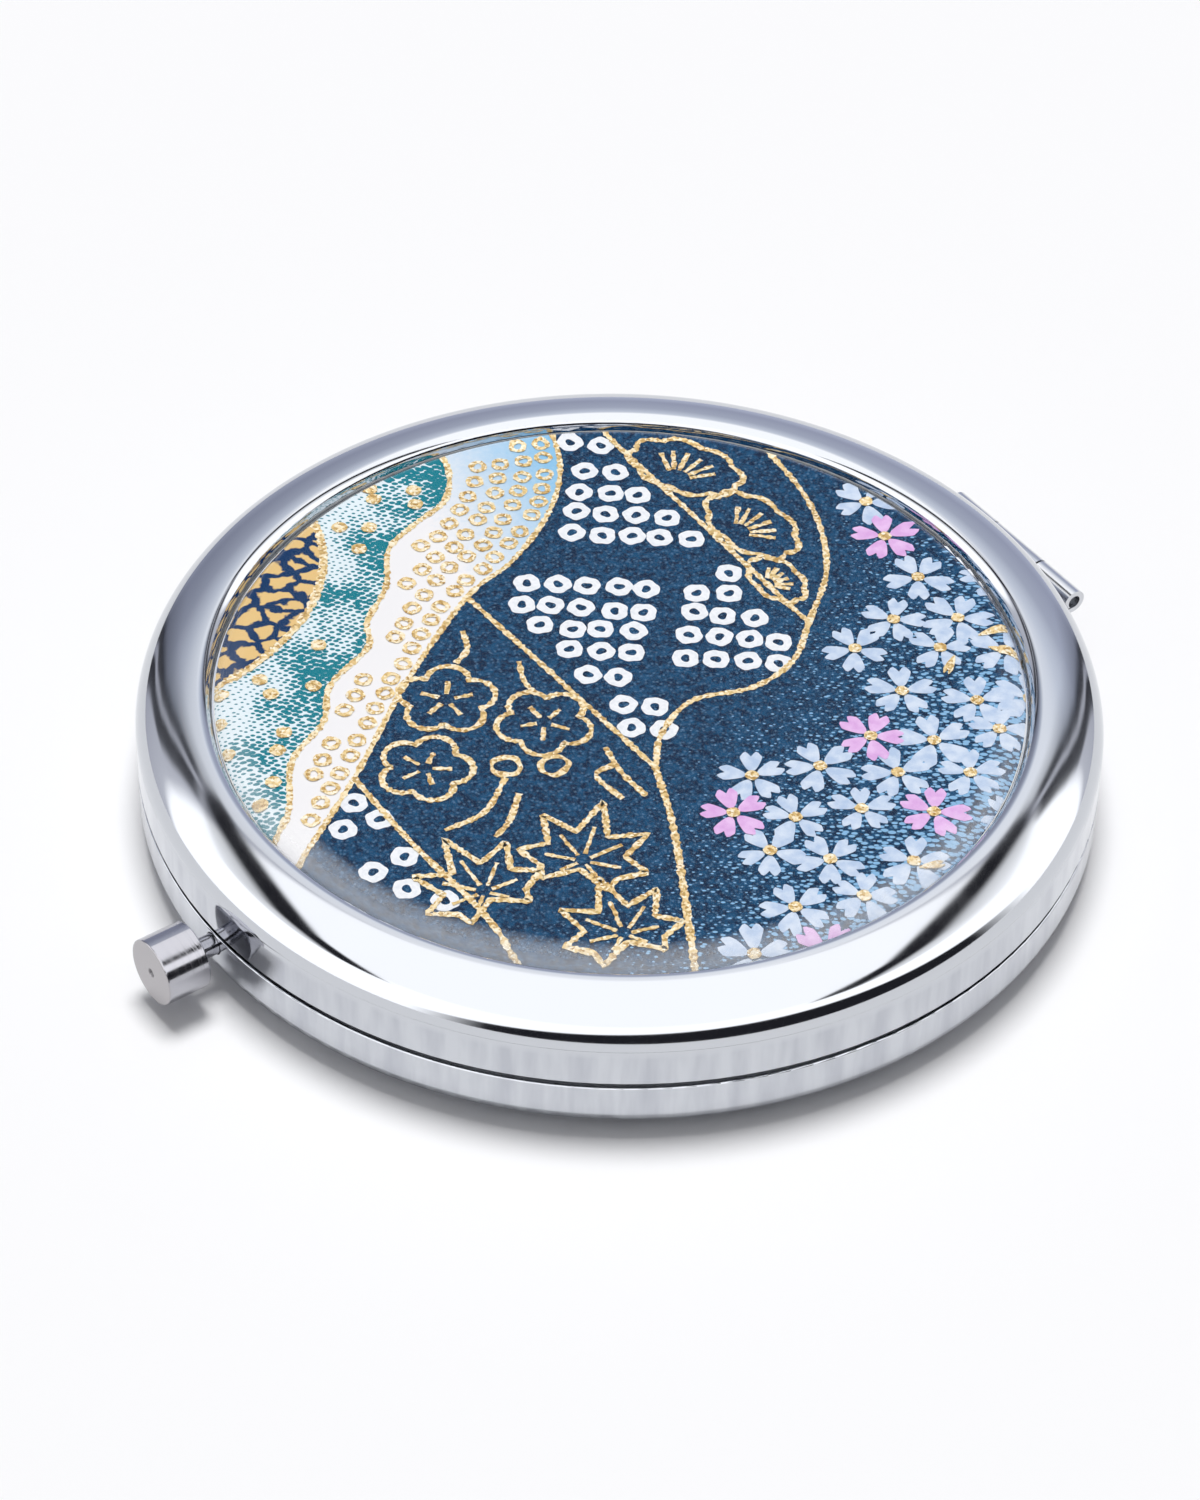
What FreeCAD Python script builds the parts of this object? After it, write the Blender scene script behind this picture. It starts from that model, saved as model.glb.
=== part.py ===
import FreeCAD, Part
import math
import os

# Compact mirror, closed. Millimetres. Origin at the middle of the flat underside, +Z up,
# push button toward -Y, hinge at +Y.

os.makedirs("parts", exist_ok=True)
V = FreeCAD.Vector

# Case: two stamped shells of one sheet thickness
case_radius = 35.0
sheet = 0.5
edge_round = 0.1
seam_z = 5.14
seam_gap = 0.4
base_inner_corner = 0.7
base_crown_start = 50.0
lid_wall = 2.9
lid_inner_corner = 2.15
lid_crown_start = 65.0
rim_width = 5.4
lip_inner_round = 0.4
tray_depth = 1.5
tray_fillet = 0.2

# Paper and resin in the tray
paper_thickness = 0.15
paper_gap = 0.08
dome_inset = 0.05
dome_crown = 0.18
dome_height = 1.4
dome_edge_height = 0.2
dome_shoulder = 1.4

# Push button: turned head and stem, with a clip inside the wall
hole_land = 0.12
button_travel = 1.2
head_stop_gap = 0.55
head_length = 3.4
head_floor_gap = 1.44
head_round = 0.12
dimple_radius = 0.35
dimple_depth = 0.25
stem_radius = 0.8
stem_clearance = 0.08
stem_overhang = 0.19
groove_depth = 0.25
clip_lip = 0.4
clip_thickness = 0.4
clip_gap = 0.08
clip_side_gap = 0.02
clip_mouth_share = 0.9
saddle_thickness = 0.6
saddle_shoulder = 1.3
channel_gap = 0.5
channel_floor_gap = 0.2

# Catch: flat spring behind the stem, and the striker on the lid
spring_thickness = 0.3
spring_touch_gap = 0.1
spring_clear = 0.4
spring_half_length = 8.5
spring_floor_gap = 1.34
spring_skin_gap = 0.12
spring_slot_gap = 0.02
hook_side = 0.4
hook_length = 1.0
hook_past = 0.2
hook_gap = 0.05
hook_height = 0.85
hook_slope = 0.42
post_width = 2.2
striker_lift = 0.3
striker_thickness = 0.4
striker_bar = 0.45
striker_side = 1.0
window_gap = 0.2
window_top_gap = 0.05
striker_drop = 0.5
striker_foot_lift = 1.2
pocket_side_gap = 1.0

# Mirrors, their foam pads and their moulded frames
mirror_side_gap = 0.2
lid_glass = 1.5
base_glass_rise = 0.81
base_pad = 1.475
pad_inset = 5.0
glass_gap = 0.05
pad_gap = 0.025
bezel_overlap = 0.8
frame_wall = 0.75
frame_skin = 0.7
frame_bevel = 0.3
frame_gap = 0.3
base_frame_drop = 0.2
lid_frame_lift = 0.1
rib_thickness = 0.8
rib_angles = (-40, -20, 0, 20, 40)
merge = 0.1

# Hinge: three rolled knuckles on one pin, outside the wall at seam height
hinge_out = 2.1
barrel_length = 14.2
middle_share = 0.38
knuckle_gap = 0.15
pin_radius = 0.5
pin_set_back = 0.9
held_clearance = 0.02
running_clearance = 0.06
leaf_thickness = 0.42
leaf_gap = 0.05
leaf_floor_gap = 0.2
leaf_roof_gap = 0.9
leaf_margin = 0.3
leaf_pocket_gap = 0.3
slot_clearance = 0.06
curl_slit = 0.12

# Shell sizes that follow; each shell turns in over a corner and a crown to a level crest
inner_radius = case_radius - sheet
lip_round = sheet + lip_inner_round
recess_radius = case_radius - rim_width
crest_radius = recess_radius + lip_round
base_corner = sheet + base_inner_corner
lid_corner = sheet + lid_inner_corner


def crown_radius(corner, start):
    """Radius of the crown, which starts at an angle on the corner and runs level at the crest."""
    return corner + (case_radius - corner - crest_radius) / math.cos(math.radians(start))


def crown_rise(corner, start):
    """Height of corner and crown together, from the end of the straight wall to the crest."""
    lift = math.sin(math.radians(start))
    return corner * lift + crown_radius(corner, start) * (1 - lift)


base_wall_low = crown_rise(base_corner, base_crown_start)
base_top = seam_z - seam_gap / 2
lid_bottom = seam_z + seam_gap / 2
lid_wall_top = seam_z + lid_wall
crest_z = lid_wall_top + crown_rise(lid_corner, lid_crown_start)
tray_z = crest_z - tray_depth
tray_under = tray_z - sheet
paper_radius = recess_radius - tray_fillet - paper_gap
dome_radius = paper_radius - dome_inset

# Button and catch sizes that follow, each from the one outside it
button_z = base_top - hole_land - stem_clearance - stem_radius
head_radius = button_z - head_floor_gap
head_back = case_radius + button_travel + head_stop_gap
button_face = head_back + head_length
groove_radius = stem_radius - groove_depth
clip_radius = stem_radius + clip_lip
clip_front = inner_radius - clip_gap
clip_back = clip_front - clip_thickness
saddle_front = clip_back - button_travel - clip_gap
saddle_back = saddle_front - saddle_thickness
stem_end = saddle_back - stem_overhang
spring_face = stem_end - spring_touch_gap
spring_back = spring_face - spring_thickness
hook_half_width = stem_radius + hook_side
striker_low = seam_z + striker_lift
striker_top = lid_wall_top - striker_drop
striker_face = spring_face + hook_length - hook_past
striker_back = striker_face - striker_thickness
striker_half_width = hook_half_width + striker_side
hook_under = striker_low + striker_bar + hook_gap
hook_top = hook_under + hook_height

# Mirror and frame sizes that follow
frame_outer = inner_radius - frame_gap
channel_outer = frame_outer - frame_wall
channel_inner = spring_back - button_travel - spring_clear
skirt_inner = channel_inner - frame_wall
mirror_radius = skirt_inner - mirror_side_gap
pad_radius = mirror_radius - pad_inset
bezel_radius = mirror_radius - bezel_overlap
base_frame_top = base_top - base_frame_drop
base_skin_under = base_frame_top - frame_skin
lid_frame_low = lid_bottom + lid_frame_lift
lid_skin_top = lid_frame_low + frame_skin
lid_frame_top = lid_wall_top - frame_skin
lid_glass_low = lid_skin_top + glass_gap
base_glass_edge = base_skin_under - glass_gap
base_glass_face = base_glass_edge - base_glass_rise
base_glass_back = sheet + base_pad + pad_gap
base_glass_curve = (mirror_radius ** 2 + base_glass_rise ** 2) / (2 * base_glass_rise)
spring_low = sheet + spring_floor_gap
spring_high = base_skin_under - spring_skin_gap

# Hinge sizes that follow
hinge_y = case_radius + hinge_out
knuckle_radius = pin_radius + held_clearance + leaf_thickness
outer_half = barrel_length / 2
middle_half = middle_share * outer_half
outer_start = middle_half + knuckle_gap
base_tab_low = seam_z - knuckle_radius
base_tab_high = base_tab_low + leaf_thickness
lid_tab_high = seam_z + knuckle_radius
lid_tab_low = lid_tab_high - leaf_thickness
leaf_outer = inner_radius - leaf_gap
leaf_inner = leaf_outer - leaf_thickness


def line(a, b):
    """One straight edge of a turned profile, between two (radius, height) points."""
    return Part.makeLine(V(a[0], 0, a[1]), V(b[0], 0, b[1]))


def arc(centre, radius, start, end):
    """One arc of a turned profile, by its centre, radius and two angles in degrees."""
    low, high = sorted((start, end))
    edge = Part.makeCircle(radius, V(centre[0], centre[1], 0), V(0, 0, 1), low, high)
    edge.rotate(V(0, 0, 0), V(1, 0, 0), 90)
    return edge


def turned(edges):
    """The solid that a closed profile sweeps around Z."""
    wire = Part.Wire(Part.__sortEdges__(edges))
    return Part.Face(wire).revolve(V(0, 0, 0), V(0, 0, 1), 360)


def turned_polygon(corners):
    """The solid that a straight-sided profile sweeps around Z."""
    closed = corners + corners[:1]
    return turned([line(a, b) for a, b in zip(closed, closed[1:])])


def box(x, y, z):
    """A block between two values of each coordinate."""
    return Part.makeBox(x[1] - x[0], y[1] - y[0], z[1] - z[0], V(x[0], y[0], z[0]))


def disc(radius, low, high):
    """A plain cylinder around Z."""
    return Part.makeCylinder(radius, high - low, V(0, 0, low))


def rod_y(radius, start, end, z):
    """A rod along Y."""
    return Part.makeCylinder(radius, end - start, V(0, start, z), V(0, 1, 0))


def rod_x(radius, start, end, y, z):
    """A rod along X."""
    return Part.makeCylinder(radius, end - start, V(start, y, z), V(1, 0, 0))


def prism_x(corners, half_width):
    """A straight-sided outline in Y and Z, drawn out along X to both sides."""
    points = [V(-half_width, y, z) for y, z in corners]
    face = Part.Face(Part.makePolygon(points + points[:1]))
    return face.extrude(V(2 * half_width, 0, 0))


def both_sides(shape):
    """A shape and its copy mirrored across the YZ plane."""
    return shape.fuse(shape.mirror(V(0, 0, 0), V(1, 0, 0)))


def save(name, shape):
    """Write one piece as a single clean solid."""
    solids = shape.removeSplitter().Solids
    if len(solids) != 1 or not solids[0].isValid():
        raise ValueError(name + " is not one valid solid")
    solids[0].exportStep("parts/" + name + ".step")


# Stamped shells

def sheet_edge(z, facing):
    """The rounded edge of the sheet around the case; facing is -1 for a lower edge, 1 for an upper."""
    outer = case_radius - edge_round
    inner = inner_radius + edge_round
    middle = z - facing * edge_round
    return [
        arc((outer, middle), edge_round, 0, 90 * facing),
        line((outer, z), (inner, z)),
        arc((inner, middle), edge_round, 90 * facing, 180 * facing),
    ]


def rounded_edge(corner, start, wall_end, up, inset):
    """Corner and crown of a shell, from the end of its wall in to the crest; up is 1 for the lid, -1 for the base."""
    bend = crown_radius(corner, start)
    turn = math.radians(start)
    crown_z = wall_end - up * (bend - corner) * math.sin(turn)
    return [
        arc((case_radius - corner, wall_end), corner - inset, 0, up * start),
        arc((crest_radius, crown_z), bend - inset, up * start, up * 90),
    ]


def base_outline(inset):
    """Floor, rounded edge and wall of the base, inset by the sheet for its inner face."""
    wall = case_radius - inset
    return rounded_edge(base_corner, base_crown_start, base_wall_low, -1, inset) + [
        line((0, inset), (crest_radius, inset)),
        line((wall, base_wall_low), (wall, base_top - edge_round)),
    ]


def lid_outline(inset):
    """Wall, rounded edge, lip and tray of the lid, inset by the sheet for its inner face."""
    wall = case_radius - inset
    recess = recess_radius + inset
    lip = (crest_radius, crest_z - lip_round)
    foot = (recess_radius - tray_fillet, tray_z + tray_fillet)
    return rounded_edge(lid_corner, lid_crown_start, lid_wall_top, 1, inset) + [
        line((wall, lid_bottom + edge_round), (wall, lid_wall_top)),
        arc(lip, lip_round - inset, 90, 180),
        line((recess, lip[1]), (recess, foot[1])),
        arc(foot, tray_fillet + inset, 0, -90),
        line((foot[0], tray_z - inset), (0, tray_z - inset)),
    ]


def wall_slot(start, end, low, high):
    """The slot in a rear wall that a hinge tab passes through."""
    grow = slot_clearance
    y = (leaf_inner - sheet, case_radius + sheet)
    return box((start - grow, end + grow), y, (low - grow, high + grow))


def base_shell():
    edges = base_outline(0) + base_outline(sheet) + sheet_edge(base_top, 1)
    edges.append(line((0, 0), (0, sheet)))
    hole = rod_y(stem_radius + stem_clearance, -head_back, -saddle_front, button_z)
    slot = wall_slot(outer_start, outer_half, base_tab_low, base_tab_high)
    return turned(edges).cut(hole).cut(both_sides(slot))


def lid_shell():
    edges = lid_outline(0) + lid_outline(sheet) + sheet_edge(lid_bottom, -1)
    edges.append(line((0, tray_under), (0, tray_z)))
    return turned(edges).cut(wall_slot(-middle_half, middle_half, lid_tab_low, lid_tab_high))


# Inlay in the tray

def paper_disc():
    return disc(paper_radius, tray_z, tray_z + paper_thickness)


def resin_dome():
    low = tray_z + paper_thickness
    edge_z = low + dome_edge_height
    top = low + dome_height
    shoulder = (dome_radius - dome_shoulder, top - dome_crown)
    drop = shoulder[1] - edge_z
    bend = (dome_shoulder ** 2 + drop ** 2) / (2 * drop)
    bend_turn = math.degrees(math.asin(dome_shoulder / bend))
    crown = (shoulder[0] ** 2 + dome_crown ** 2) / (2 * dome_crown)
    crown_turn = math.degrees(math.asin(shoulder[0] / crown))
    return turned([
        line((0, low), (dome_radius, low)),
        line((dome_radius, low), (dome_radius, edge_z)),
        arc((shoulder[0], shoulder[1] - bend), bend, 90 - bend_turn, 90),
        arc((0, top - crown), crown, 90 - crown_turn, 90),
        line((0, top), (0, low)),
    ])


# Mirrors and pads

def bowl_rise(radius):
    """How far the magnifying glass rises from its middle to a radius."""
    return base_glass_curve - math.sqrt(base_glass_curve ** 2 - radius ** 2)


def bowl_arc(radius, middle_z):
    """The concave curve of the magnifying glass, from its middle out to a radius."""
    turn = math.degrees(math.asin(radius / base_glass_curve))
    return arc((0, middle_z + base_glass_curve), base_glass_curve, -90, turn - 90)


def base_mirror():
    back_edge = base_glass_back + bowl_rise(mirror_radius)
    return turned([
        bowl_arc(mirror_radius, base_glass_face),
        bowl_arc(mirror_radius, base_glass_back),
        line((mirror_radius, back_edge), (mirror_radius, base_glass_face + bowl_rise(mirror_radius))),
        line((0, base_glass_back), (0, base_glass_face)),
    ])


def base_mirror_pad():
    middle = sheet + base_pad
    return turned([
        bowl_arc(pad_radius, middle),
        line((pad_radius, sheet), (pad_radius, middle + bowl_rise(pad_radius))),
        line((0, sheet), (pad_radius, sheet)),
        line((0, sheet), (0, middle)),
    ])


def lid_mirror():
    return disc(mirror_radius, lid_glass_low, lid_glass_low + lid_glass)


def lid_mirror_pad():
    return disc(pad_radius, lid_glass_low + lid_glass, tray_under)


# Moulded frames

def ribs(low, high):
    """Radial ribs across the channel, on the left and right halves of a frame."""
    half = rib_thickness / 2
    rib = box((channel_inner - merge, channel_outer + merge), (-half, half), (low, high))
    group = rib
    for degrees in rib_angles:
        turned_rib = rib.copy()
        turned_rib.rotate(V(0, 0, 0), V(0, 0, 1), degrees)
        group = group.fuse(turned_rib)
    return both_sides(group)


def leaf_pocket(half_width, low, high):
    """Room at the back of a frame for a hinge leaf."""
    half = half_width + leaf_margin + leaf_pocket_gap
    inner = math.sqrt(leaf_inner ** 2 - half_width ** 2) - leaf_pocket_gap
    return box((-half, half), (inner, case_radius), (low, high))


def stem_saddle():
    """The upright wall in the base frame that carries the inner end of the button's stem."""
    half = clip_radius + channel_gap + saddle_shoulder
    groove = stem_radius + stem_clearance
    run = (-case_radius, -spring_face)
    wall = box((-half, half), (-saddle_front, -saddle_back), (sheet, base_skin_under + merge))
    wall = wall.cut(rod_y(groove, run[0], run[1], button_z))
    return wall.cut(box((-groove, groove), run, (button_z, seam_z)))


def base_edge_room():
    """The rounded edge of the base with its clearance, which the frame's feet keep out of."""
    top = base_top - edge_round
    inset = sheet + frame_gap
    room = turned(base_outline(inset) + [line((0, inset), (0, top)), line((0, top), (case_radius - inset, top))])
    return disc(case_radius, 0, top).cut(room).cut(disc(crest_radius, 0, top))


def base_frame():
    under = base_skin_under
    top = base_frame_top
    frame = turned_polygon([
        (skirt_inner, sheet),
        (channel_inner, sheet),
        (channel_inner, under),
        (channel_outer, under),
        (channel_outer, sheet),
        (frame_outer - frame_bevel, sheet),
        (frame_outer, sheet + frame_bevel),
        (frame_outer, top - frame_bevel),
        (frame_outer - frame_bevel, top),
        (bezel_radius + frame_bevel, top),
        (bezel_radius, top - frame_bevel),
        (bezel_radius, under),
        (skirt_inner, under),
    ])
    frame = frame.fuse(ribs(sheet, under + merge))
    frame = frame.cut(leaf_pocket(outer_half, 0, seam_z))
    post_half = post_width / 2
    spring_y = (spring_face + spring_back) / 2
    post_x = (spring_half_length - post_half, spring_half_length + post_half)
    post = box(post_x, (-spring_y - post_half, -spring_y + post_half), (sheet, under + merge))
    frame = frame.fuse(both_sides(post))
    channel_half = clip_radius + channel_gap
    channel_low = button_z - clip_radius - channel_floor_gap
    channel_y = (-case_radius, -channel_inner - merge)
    frame = frame.cut(box((-channel_half, channel_half), channel_y, (channel_low, seam_z)))
    frame = frame.fuse(stem_saddle()).cut(base_edge_room())
    grip = spring_half_length + spring_slot_gap
    slot_y = (-spring_face - spring_slot_gap, -spring_back + spring_slot_gap)
    return frame.cut(box((-grip, grip), slot_y, (spring_low - spring_skin_gap, under)))


def lid_frame():
    low = lid_frame_low
    over = lid_skin_top
    frame = turned_polygon([
        (skirt_inner, tray_under),
        (channel_inner, tray_under),
        (channel_inner, over),
        (channel_outer, over),
        (channel_outer, lid_frame_top),
        (frame_outer, lid_frame_top),
        (frame_outer, low + frame_bevel),
        (frame_outer - frame_bevel, low),
        (bezel_radius + frame_bevel, low),
        (bezel_radius, low + frame_bevel),
        (bezel_radius, over),
        (skirt_inner, over),
    ])
    frame = frame.fuse(ribs(over - merge, lid_frame_top))
    frame = frame.cut(leaf_pocket(middle_half, seam_z, crest_z))
    pocket = striker_half_width + pocket_side_gap
    return frame.cut(box((-pocket, pocket), (-case_radius, -channel_inner), (seam_z, crest_z)))


# Hinge

def curved_plate(half_width, low, high):
    """A plate bent to lie against the inside of the wall, at the back of the case."""
    plate = disc(leaf_outer, low, high).cut(disc(leaf_inner, low, high))
    return plate.common(box((-half_width, half_width), (0, case_radius), (low, high)))


def knuckle(start, end, tab_low, tab_high, hole, slit_low):
    """One rolled knuckle with its tab, which runs in to the plate behind the wall.

    The slit is where the rolled end of the sheet stops short of the tab."""
    x = (start, end)
    tab = box(x, (leaf_inner - leaf_thickness, hinge_y), (tab_low, tab_high))
    tab = tab.cut(disc(leaf_inner, tab_low, tab_high))
    barrel = rod_x(knuckle_radius, start, end, hinge_y, seam_z)
    slit = box(x, (hinge_y - 2 * knuckle_radius, hinge_y), (slit_low, slit_low + curl_slit))
    return barrel.cut(slit).fuse(tab).cut(rod_x(hole, start, end, hinge_y, seam_z))


def base_hinge_leaf():
    plate = curved_plate(outer_half + leaf_margin, base_wall_low + leaf_floor_gap, base_tab_high)
    hole = pin_radius + held_clearance
    end = knuckle(outer_start, outer_half, base_tab_low, base_tab_high, hole, base_tab_high)
    return plate.fuse(both_sides(end))


def lid_hinge_leaf():
    plate = curved_plate(middle_half + leaf_margin, lid_tab_low, lid_wall_top - leaf_roof_gap)
    hole = pin_radius + running_clearance
    slit_low = lid_tab_low - curl_slit
    return plate.fuse(knuckle(-middle_half, middle_half, lid_tab_low, lid_tab_high, hole, slit_low))


def hinge_pin():
    half = outer_half - pin_set_back
    return rod_x(pin_radius, -half, half, hinge_y, seam_z)


# Button and catch

def button_plunger():
    head = rod_y(head_radius, -button_face, -head_back, button_z)
    head = head.makeFillet(head_round, head.Edges)
    stem = rod_y(stem_radius, -head_back - merge, -stem_end, button_z)
    dimple = Part.makeCone(dimple_radius, 0, dimple_depth, V(0, -button_face, button_z), V(0, 1, 0))
    low = -clip_front - clip_side_gap
    high = -clip_back + clip_side_gap
    groove = rod_y(clip_radius, low, high, button_z).cut(rod_y(groove_radius, low, high, button_z))
    return head.fuse(stem).cut(dimple).cut(groove)


def button_clip():
    hole = groove_radius + clip_side_gap
    clip = rod_y(clip_radius, -clip_front, -clip_back, button_z)
    clip = clip.cut(rod_y(hole, -clip_front, -clip_back, button_z))
    mouth = clip_mouth_share * hole
    return clip.cut(box((-mouth, mouth), (-clip_front, -clip_back), (button_z - 2 * clip_radius, button_z)))


def catch_spring():
    length = (-spring_half_length, spring_half_length)
    strip = box(length, (-spring_face, -spring_back), (spring_low, spring_high))
    tip = spring_face + hook_length
    hook = prism_x([
        (-spring_back, spring_high - merge),
        (-spring_back, hook_top),
        (-tip, hook_under + spring_thickness),
        (-tip, hook_under),
        (-spring_face, hook_under + hook_slope),
        (-spring_face, spring_high - merge),
    ], hook_half_width)
    return strip.fuse(hook)


def lid_catch():
    width = (-striker_half_width, striker_half_width)
    front = (-case_radius, -striker_back)
    wall_side = disc(leaf_outer, 0, crest_z)
    bridge = box(width, front, (striker_top - striker_thickness, striker_top)).common(wall_side)
    foot = box(width, front, (seam_z + striker_foot_lift, striker_top)).common(wall_side)
    foot = foot.cut(disc(leaf_outer - striker_thickness, 0, crest_z))
    arm = box(width, (-striker_face, -striker_back), (striker_low, striker_top))
    window_half = hook_half_width + window_gap
    window_z = (striker_low + striker_bar, hook_top + window_top_gap)
    window = box((-window_half, window_half), (-striker_face, -striker_back), window_z)
    return foot.fuse(bridge).fuse(arm).cut(window)


pieces = (
    base_shell, base_frame, base_mirror, base_mirror_pad, base_hinge_leaf, hinge_pin, catch_spring,
    lid_shell, paper_disc, resin_dome, lid_frame, lid_mirror, lid_mirror_pad, lid_hinge_leaf, lid_catch,
    button_plunger, button_clip,
)
for piece in pieces:
    save(piece.__name__, piece())
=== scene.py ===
import math
import bpy
import numpy as np
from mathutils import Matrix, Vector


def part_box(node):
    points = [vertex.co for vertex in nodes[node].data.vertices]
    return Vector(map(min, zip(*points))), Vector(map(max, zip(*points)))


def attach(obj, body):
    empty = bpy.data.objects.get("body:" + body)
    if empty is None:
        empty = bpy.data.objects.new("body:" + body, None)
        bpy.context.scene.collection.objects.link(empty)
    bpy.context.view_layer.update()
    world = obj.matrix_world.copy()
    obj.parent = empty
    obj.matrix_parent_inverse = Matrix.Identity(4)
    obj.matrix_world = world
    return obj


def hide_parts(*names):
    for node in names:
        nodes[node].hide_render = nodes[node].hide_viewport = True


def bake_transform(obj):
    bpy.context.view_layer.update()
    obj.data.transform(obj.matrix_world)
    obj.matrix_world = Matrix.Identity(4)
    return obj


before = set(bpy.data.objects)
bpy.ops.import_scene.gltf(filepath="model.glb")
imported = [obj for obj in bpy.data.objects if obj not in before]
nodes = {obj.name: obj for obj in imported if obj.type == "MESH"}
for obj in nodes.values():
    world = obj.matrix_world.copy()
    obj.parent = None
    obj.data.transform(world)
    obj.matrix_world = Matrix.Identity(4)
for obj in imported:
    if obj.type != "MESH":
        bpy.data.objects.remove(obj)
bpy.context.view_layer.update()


# Base shell
# The lower half of the case is a flat cup, drawn from 0.5 mm steel sheet and trimmed to a clean edge.
# It is polished and chrome-plated, so it mirrors the studio, with faint drawing marks up its wall; the wall
# is painted darker in streaks, a painted shade.

MM = 0.001


def linear(colour):
    """The linear colour of an sRGB hex value, by the standard two-part curve; numbers are linear already."""
    if isinstance(colour, str):
        srgb = np.array([int(colour[i:i + 2], 16) / 255 for i in (1, 3, 5)])
        colour = np.where(srgb > 0.04045, ((srgb + 0.055) / 1.055) ** 2.4, srgb / 12.92)
    return (*np.broadcast_to(colour, 3).tolist(), 1.0)


def connect(tree, made, inputs):
    """Gives each named input of a node its value, its colour, or a link from another node's output."""
    for name, value in inputs.items():
        if isinstance(value, bpy.types.NodeSocket):
            tree.links.new(value, made.inputs[name])
        else:
            made.inputs[name].default_value = linear(value) if isinstance(value, str) else value


def add_node(tree, kind, inputs=None, stops=(), **settings):
    """Adds one node with its inputs, settings and ramp stops, and returns its first output in use."""
    made = tree.nodes.new("ShaderNode" + kind)
    for name, value in settings.items():
        setattr(made, name, value)
    for count, (place, colour) in enumerate(stops):
        ramp = made.color_ramp.elements
        stop = ramp[count] if count < 2 else ramp.new(place)
        stop.position = place
        stop.color = linear(colour)
    connect(tree, made, inputs or {})
    return next(output for output in made.outputs if output.enabled)


def new_material(name):
    """A material, its node tree, its shader and the piece's own coordinates in millimetres."""
    material = bpy.data.materials.new(name)
    material.use_nodes = True
    tree = material.node_tree
    coordinates = tree.nodes.new("ShaderNodeTexCoord").outputs["Object"]
    in_mm = add_node(tree, "Mapping", {"Vector": coordinates, "Scale": (1000, 1000, 1000)})
    return material, tree, tree.nodes["Principled BSDF"], in_mm


def dress(node, material):
    """Gives a solid of the frame its finished material."""
    nodes[node].data.materials.clear()
    nodes[node].data.materials.append(material)


# Chrome over drawn steel: a cool bright mirror. The die leaves marks about 1.3 mm wide that run up the wall,
# and handling leaves patches of slightly softer shine a few millimetres across.
DRAW_MARK_WIDTH = 1.3
DRAW_MARK_HEIGHT = 9.0
DRAW_MARK_DEPTH = 0.004
SHINE_PATCH = 5.0
WALL_TOP = 8.04
WALL_FADE = 0.3
chrome, tree, shader, place = new_material("chrome_plate_on_drawn_steel")
height = add_node(tree, "SeparateXYZ", {"Vector": place}).node.outputs["Z"]
on_wall = add_node(tree, "MapRange", {
    "Value": height, "From Min": WALL_TOP - WALL_FADE, "From Max": WALL_TOP + WALL_FADE,
    "To Min": 1.0, "To Max": 0.0})
drawn_out = add_node(tree, "Mapping", {
    "Vector": place, "Scale": (1 / DRAW_MARK_WIDTH, 1 / DRAW_MARK_WIDTH, 1 / DRAW_MARK_HEIGHT)})
marks = add_node(tree, "TexNoise", {"Vector": drawn_out, "Scale": 1.0, "Detail": 3.0})
wall_marks = add_node(tree, "Math", {0: marks, 1: on_wall}, operation="MULTIPLY")
bump = add_node(tree, "Bump", {"Height": wall_marks, "Distance": DRAW_MARK_DEPTH * MM})
patches = add_node(tree, "TexNoise", {"Vector": place, "Scale": 1 / SHINE_PATCH, "Detail": 4.0})
shine = add_node(tree, "MapRange", {
    "Value": patches, "From Min": 0.3, "From Max": 0.7, "To Min": 0.05, "To Max": 0.10})
# The wall is painted a little darker than the crown, in streaks that follow the drawing marks: painted shade
# standing in for the shaded table that the wall mirrors.
wall_streaks_and_painted_shade = add_node(tree, "ValToRGB", {"Fac": marks}, [(0.35, "#b9bcc3"), (0.65, "#cacdd2")])
plate_tone_and_painted_shade = add_node(tree, "Mix", {"Factor": on_wall, 6: "#cbced3", 7: wall_streaks_and_painted_shade}, data_type="RGBA")
connect(tree, shader, {"Base Color": plate_tone_and_painted_shade, "Metallic": 1.0, "Roughness": shine, "Normal": bump})
dress("base_shell", chrome)


# Foam pads
# A disc of white closed-cell foam tape sticks each mirror to its shell and takes up the room behind it.
# The cells are cut open at the rim, so the foam is dull and finely pitted.

FOAM_CELL = 0.3
FOAM_PIT = 0.06
foam, tree, shader, place = new_material("closed_cell_foam_tape")
cells = add_node(tree, "TexVoronoi", {"Vector": place, "Scale": 1 / FOAM_CELL})
# The pits are painted a little darker than the foam around them: painted shade.
shade = add_node(tree, "ValToRGB", {"Fac": cells}, [(0.0, "#c9c7c0"), (0.7, "#e4e2dc")])
bump = add_node(tree, "Bump", {"Height": cells, "Distance": FOAM_PIT * MM})
connect(tree, shader, {"Base Color": shade, "Roughness": 0.9, "Normal": bump})
dress("base_mirror_pad", foam)
dress("lid_mirror_pad", foam)


# Mirrors
# Each half holds a round of float glass, silvered on its back: flat in the lid, slumped hollow in the base.
# The silver makes it a bright neutral mirror, with only a trace of green from the glass.

HANDLING_HAZE = 14.0
mirror, tree, shader, place = new_material("silvered_float_glass")
haze = add_node(tree, "TexNoise", {"Vector": place, "Scale": 1 / HANDLING_HAZE, "Detail": 3.0})
polish = add_node(tree, "MapRange", {
    "Value": haze, "From Min": 0.4, "From Max": 0.75, "To Min": 0.01, "To Max": 0.035})
connect(tree, shader, {"Base Color": "#eef3f1", "Metallic": 1.0, "Roughness": polish})
dress("base_mirror", mirror)
dress("lid_mirror", mirror)


# Frames
# A ring moulded in silver-grey ABS snaps into each shell, holds the glass by its edge and carries the latch.
# It has the fine spark texture of its tool, which leaves it satin.

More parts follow.
